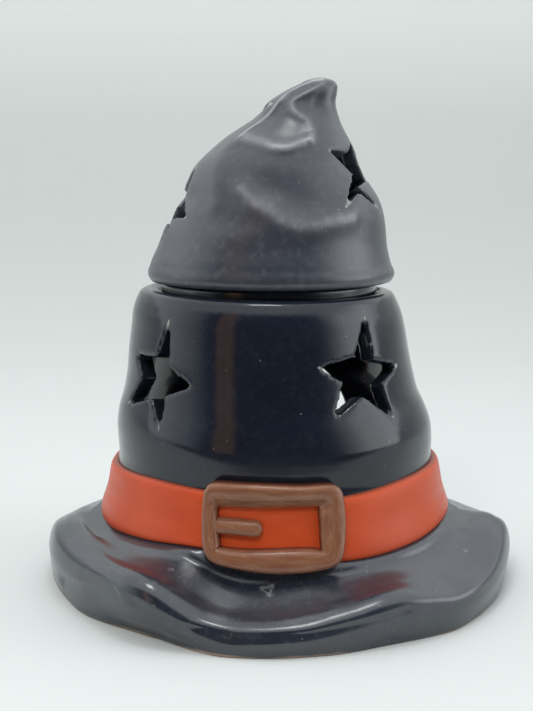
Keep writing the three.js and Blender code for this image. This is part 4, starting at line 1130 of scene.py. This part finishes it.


# edges: how far the pale cut edges reach, partly thin glaze and partly a painted highlight
bodyGlaze = glaze("bodyGlaze", dict(
    base=(0.012, 0.016, 0.026, 1), deep=(0.008, 0.010, 0.017, 1), haze=(0.022, 0.028, 0.038, 1),
    roughness=0.13, bump=0.2, edges=0.42))
brimGlaze = glaze("brimGlaze", dict(
    base=(0.024, 0.03, 0.043, 1), deep=(0.016, 0.021, 0.031, 1), haze=(0.055, 0.063, 0.078, 1),
    roughness=0.2, bump=0.3, foot=1.1, index=1.8, lines=(0.5, 0.5, 0.5, 1)))
# the lid's lines colour is its painted highlight along the ridges
lidGlaze = glaze("lidGlaze", dict(
    base=(0.045, 0.05, 0.066, 1), deep=(0.03, 0.035, 0.048, 1), haze=(0.1, 0.107, 0.125, 1),
    roughness=0.3, bump=0.45, edges=0.5, index=1.68, lines=(0.42, 0.42, 0.45, 1)))
dishGlaze = glaze("dishGlaze", dict(
    base=(0.012, 0.016, 0.026, 1), deep=(0.008, 0.010, 0.016, 1), haze=(0.03, 0.036, 0.045, 1),
    roughness=0.15, bump=0.2, coat=0.4))
orangePaint = brushed("orangePaint", dict(
    base=(0.6, 0.077, 0.018, 1), deep=(0.52, 0.06, 0.014, 1), light=(0.66, 0.12, 0.04, 1),
    dark=(0.45, 0.045, 0.008, 1), strokes=1.0, stretch=(0.06, 5, 1), streak=0.25, roughness=0.36, bump=0.12,
    edge=0.03, edgeColour=(0.3, 0.06, 0.025, 1), coat=0.0, index=1.36, sway=0.02))
brownPaint = brushed("brownPaint", dict(
    base=(0.25, 0.105, 0.056, 1), deep=(0.2, 0.08, 0.044, 1), light=(0.36, 0.19, 0.11, 1),
    dark=(0.11, 0.04, 0.024, 1), strokes=1.0, stretch=(0.13, 6, 1), streak=0.5, roughness=0.24, bump=0.25,
    edge=0.035, edgeColour=(0.1, 0.03, 0.018, 1), coat=0.15, index=1.45, sway=0.3))
foil = plainFinish("drawnFoil", dict(base=(0.80, 0.81, 0.82, 1), deep=(0.68, 0.69, 0.7, 1), grain=900.0,
                                     roughness=0.28, bump=0.2, metal=1.0))
candleWax = plainFinish("candleWax", dict(base=(0.88, 0.86, 0.80, 1), deep=(0.8, 0.78, 0.72, 1), grain=300.0,
                                          roughness=0.42, bump=0.25, depth=1))
tabSteel = plainFinish("tabSteel", dict(base=(0.6, 0.6, 0.6, 1), deep=(0.48, 0.48, 0.48, 1), grain=700.0,
                                        roughness=0.35, bump=0.2, metal=1.0))
cotton = plainFinish("cotton", dict(base=(0.82, 0.78, 0.68, 1), deep=(0.66, 0.61, 0.5, 1), grain=2600.0,
                                    roughness=0.85, bump=0.5))

print("building the castings")
pieces = {
    "crown": dress(makeCrown(), bodyGlaze), "tip_lid": dress(makeLid(), lidGlaze),
    "brim": dress(makeBrim(), brimGlaze), "wax_dish": dress(makeDish(), dishGlaze)}
print("building the band and the buckle")
pieces.update({
    "hat_band": dress(makeBand(), orangePaint), "buckle_frame": dress(makeBuckleFrame(), brownPaint),
    "buckle_prong": dress(makeBuckleProng(), brownPaint)})
print("building the tealight")
pieces.update({
    "tealight_cup": makeCup(foil), "tealight_wax": dress(makeWax(), candleWax),
    "wick_tab": dress(makeTab(), tabSteel), "tealight_wick": makeWick(cotton)})

bodyOf = {node: body for body, nodes in frame["record"]["behaviour"]["bodies"].items() for node in nodes}
for node, piece in pieces.items():
    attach(piece, bodyOf[node])
    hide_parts(node)
    print(node, len(piece.data.polygons), "faces")

print("setting the stage")
stage = dict(
    reach=3.0, wallY=0.68, bend=0.3, bendSteps=25, top=0.5, paper=(0.69, 0.725, 0.71, 1),
    # in the glaze the paper is dark from here to the front
    frontEdge=-0.17, frontColour=(0.02, 0.02, 0.025, 1),
    # what the paper adds for the camera and in reflections, by height on the wall
    glow=[(0.0, 0.0), (0.05, 0.0), (0.11, 0.02), (0.18, 0.08), (0.27, 0.28), (0.5, 0.52)],
)
tent = dict(
    strength=3.0, ceiling=(1.12, 1.16, 1.18, 1), seen=(0.8, 0.82, 0.81, 1),
    # how high the ceiling starts, in radians, over how much it fades in, and how much higher in front
    rise=0.4, fade=0.3, frontLift=0.5,
    # azimuth and the colour that comes from there at table height
    round=[(-180, 0.3, 0.3, 0.3), (-110, 0.42, 0.45, 0.46), (-90, 0.42, 0.45, 0.46), (-70, 0.24, 0.26, 0.28),
           (-54, 0.03, 0.034, 0.044), (-46, 0.012, 0.013, 0.018), (-44, 0.24, 0.13, 0.065),
           (-38, 0.15, 0.08, 0.04), (-36, 0.22, 0.12, 0.06), (-30, 0.18, 0.1, 0.055),
           (-28.5, 0.008, 0.008, 0.011), (40, 0.006, 0.007, 0.01),
           (50, 0.06, 0.064, 0.07), (62, 0.34, 0.355, 0.37), (74, 0.74, 0.76, 0.78), (100, 0.8, 0.82, 0.84),
           (112, 0.45, 0.47, 0.49), (180, 0.3, 0.3, 0.3)],
)


# Light Path's share of rays that see the paper or the tent themselves
def seenRays(tree, names):
    path = addNode(tree, "ShaderNodeLightPath").outputs
    total = path[names[0]]
    for name in names[1:]:
        total = mathOf(tree, "MAXIMUM", total, path[name])
    return total


# A sheet of paper that runs back along the table and bends up into a wall
def makeStage():
    angles = np.linspace(0, 90, stage["bendSteps"])
    spots = [(-stage["reach"], 0.0), (-0.6, 0.0), (0.0, 0.0)]
    spots += [(stage["wallY"] - stage["bend"] + stage["bend"] * math.sin(math.radians(a)),
               stage["bend"] - stage["bend"] * math.cos(math.radians(a))) for a in angles]
    spots += [(stage["wallY"], stage["top"])]
    points = [(x, y, z) for y, z in spots for x in (-stage["reach"], stage["reach"])]
    faces = [(2 * i, 2 * i + 1, 2 * i + 3, 2 * i + 2) for i in range(len(spots) - 1)]
    mesh = bpy.data.meshes.new("paperSweep")
    mesh.from_pydata(points, [], faces)
    sweep = bpy.data.objects.new("paperSweep", mesh)
    bpy.context.scene.collection.objects.link(sweep)
    material, tree, shader = newMaterial("paper", {"Roughness": 0.9, "Emission Color": stage["paper"]})
    spot = addNode(tree, "ShaderNodeTexCoord").outputs["Object"]
    place = addNode(tree, "ShaderNodeSeparateXYZ", {0: spot}).outputs
    ramp = rampOf(tree, ranged(tree, place[2], 0.0, stage["top"]),
                  [(z / stage["top"], (glow, glow, glow, 1)) for z, glow in stage["glow"]])
    seen = seenRays(tree, ["Is Camera Ray", "Is Glossy Ray", "Is Transmission Ray"])
    tree.links.new(mathOf(tree, "MULTIPLY", ramp, seen), shader.inputs["Emission Strength"])
    before = ranged(tree, place[1], stage["frontEdge"] - 0.05, stage["frontEdge"], 1, 0)
    hidden = mathOf(tree, "MULTIPLY", before, seenRays(tree, ["Is Glossy Ray"]))
    tree.links.new(mixed(tree, hidden, stage["paper"], stage["frontColour"]), shader.inputs["Base Color"])
    dress(smoothed(sweep), material)


# Colours or grey values between stops from 0 to 1
def rampOf(tree, share, stops):
    ramp = addNode(tree, "ShaderNodeValToRGB", {0: share})
    elements = ramp.color_ramp.elements
    while len(elements) < len(stops):
        elements.new(0.5)
    for element, (place, colour) in zip(elements, stops):
        element.position, element.color = place, colour
    return ramp.outputs[0]


# A tent of light: pale sides and ceiling, and a dark opening in front with a lit doorway in it
def makeTent():
    world = bpy.data.worlds.new("tent")
    bpy.context.scene.world = world
    world.use_nodes = True
    tree = world.node_tree
    way = addNode(tree, "ShaderNodeTexCoord").outputs["Generated"]
    x, y, z = addNode(tree, "ShaderNodeSeparateXYZ", {0: way}).outputs
    ahead = mathOf(tree, "MULTIPLY", y, -1.0)
    turn = mathOf(tree, "ARCTAN2", x, ahead)
    climb = mathOf(tree, "ARCSINE", z)
    stops = [((a + 180) / 360, (*colour, 1)) for a, *colour in tent["round"]]
    sides = rampOf(tree, ranged(tree, turn, -math.pi, math.pi), stops)
    scaled = addNode(tree, "ShaderNodeVectorMath", {0: sides, "Scale": tent["strength"]}, operation="SCALE")
    front = ranged(tree, ahead, 0.2, 0.75, 0.0, tent["frontLift"])
    above = mathOf(tree, "SUBTRACT", climb, front)
    share = ranged(tree, above, tent["rise"], tent["rise"] + tent["fade"])
    light = mixed(tree, share, scaled.outputs[0], tent["ceiling"])
    light = mixed(tree, seenRays(tree, ["Is Camera Ray"]), light, tent["seen"])
    tree.links.new(light, tree.nodes["Background"].inputs["Color"])


# Lamps in metres and watts; the front one is not mirrored in the glaze
lamps = dict(
    topSoftbox=dict(place=(0, -0.1, 1.3), aim=(0, 0, 0.1), size=(0.36, 0.2), power=2.2, mirrored=True),
    frontSoftbox=dict(place=(-0.25, -0.75, 0.95), aim=(0, 0, 0.08), size=(0.45, 0.3), power=4.2,
                      mirrored=False),
)


def makeLamp(name, look):
    light = bpy.data.lights.new(name, "AREA")
    light.shape = "RECTANGLE"
    light.size, light.size_y = look["size"]
    light.energy = look["power"]
    lamp = bpy.data.objects.new(name, light)
    lamp.location = look["place"]
    aim = Vector(look["aim"]) - Vector(look["place"])
    lamp.rotation_euler = aim.to_track_quat("-Z", "Y").to_euler()
    lamp.visible_glossy = look["mirrored"]
    bpy.context.scene.collection.objects.link(lamp)


makeStage()
makeTent()
for name, look in lamps.items():
    makeLamp(name, look)

# The camera's place from the hearth's axis, its lens and sensor, and how many degrees it looks down
lens = dict(x=-2.83, y=-355.66, z=127.06, focal=37.13, sensor=24, down=9.057)
view = bpy.data.cameras.new("view")
view.sensor_fit, view.sensor_height, view.lens = "VERTICAL", lens["sensor"], lens["focal"]
camera = bpy.data.objects.new("view", view)
camera.location = (axisX + lens["x"] * mm, axisY + lens["y"] * mm, lens["z"] * mm)
camera.rotation_euler = (math.radians(90 - lens["down"]), 0, 0)
bpy.context.scene.collection.objects.link(camera)
bpy.context.scene.camera = camera
bpy.context.scene.view_settings.view_transform = "Standard"
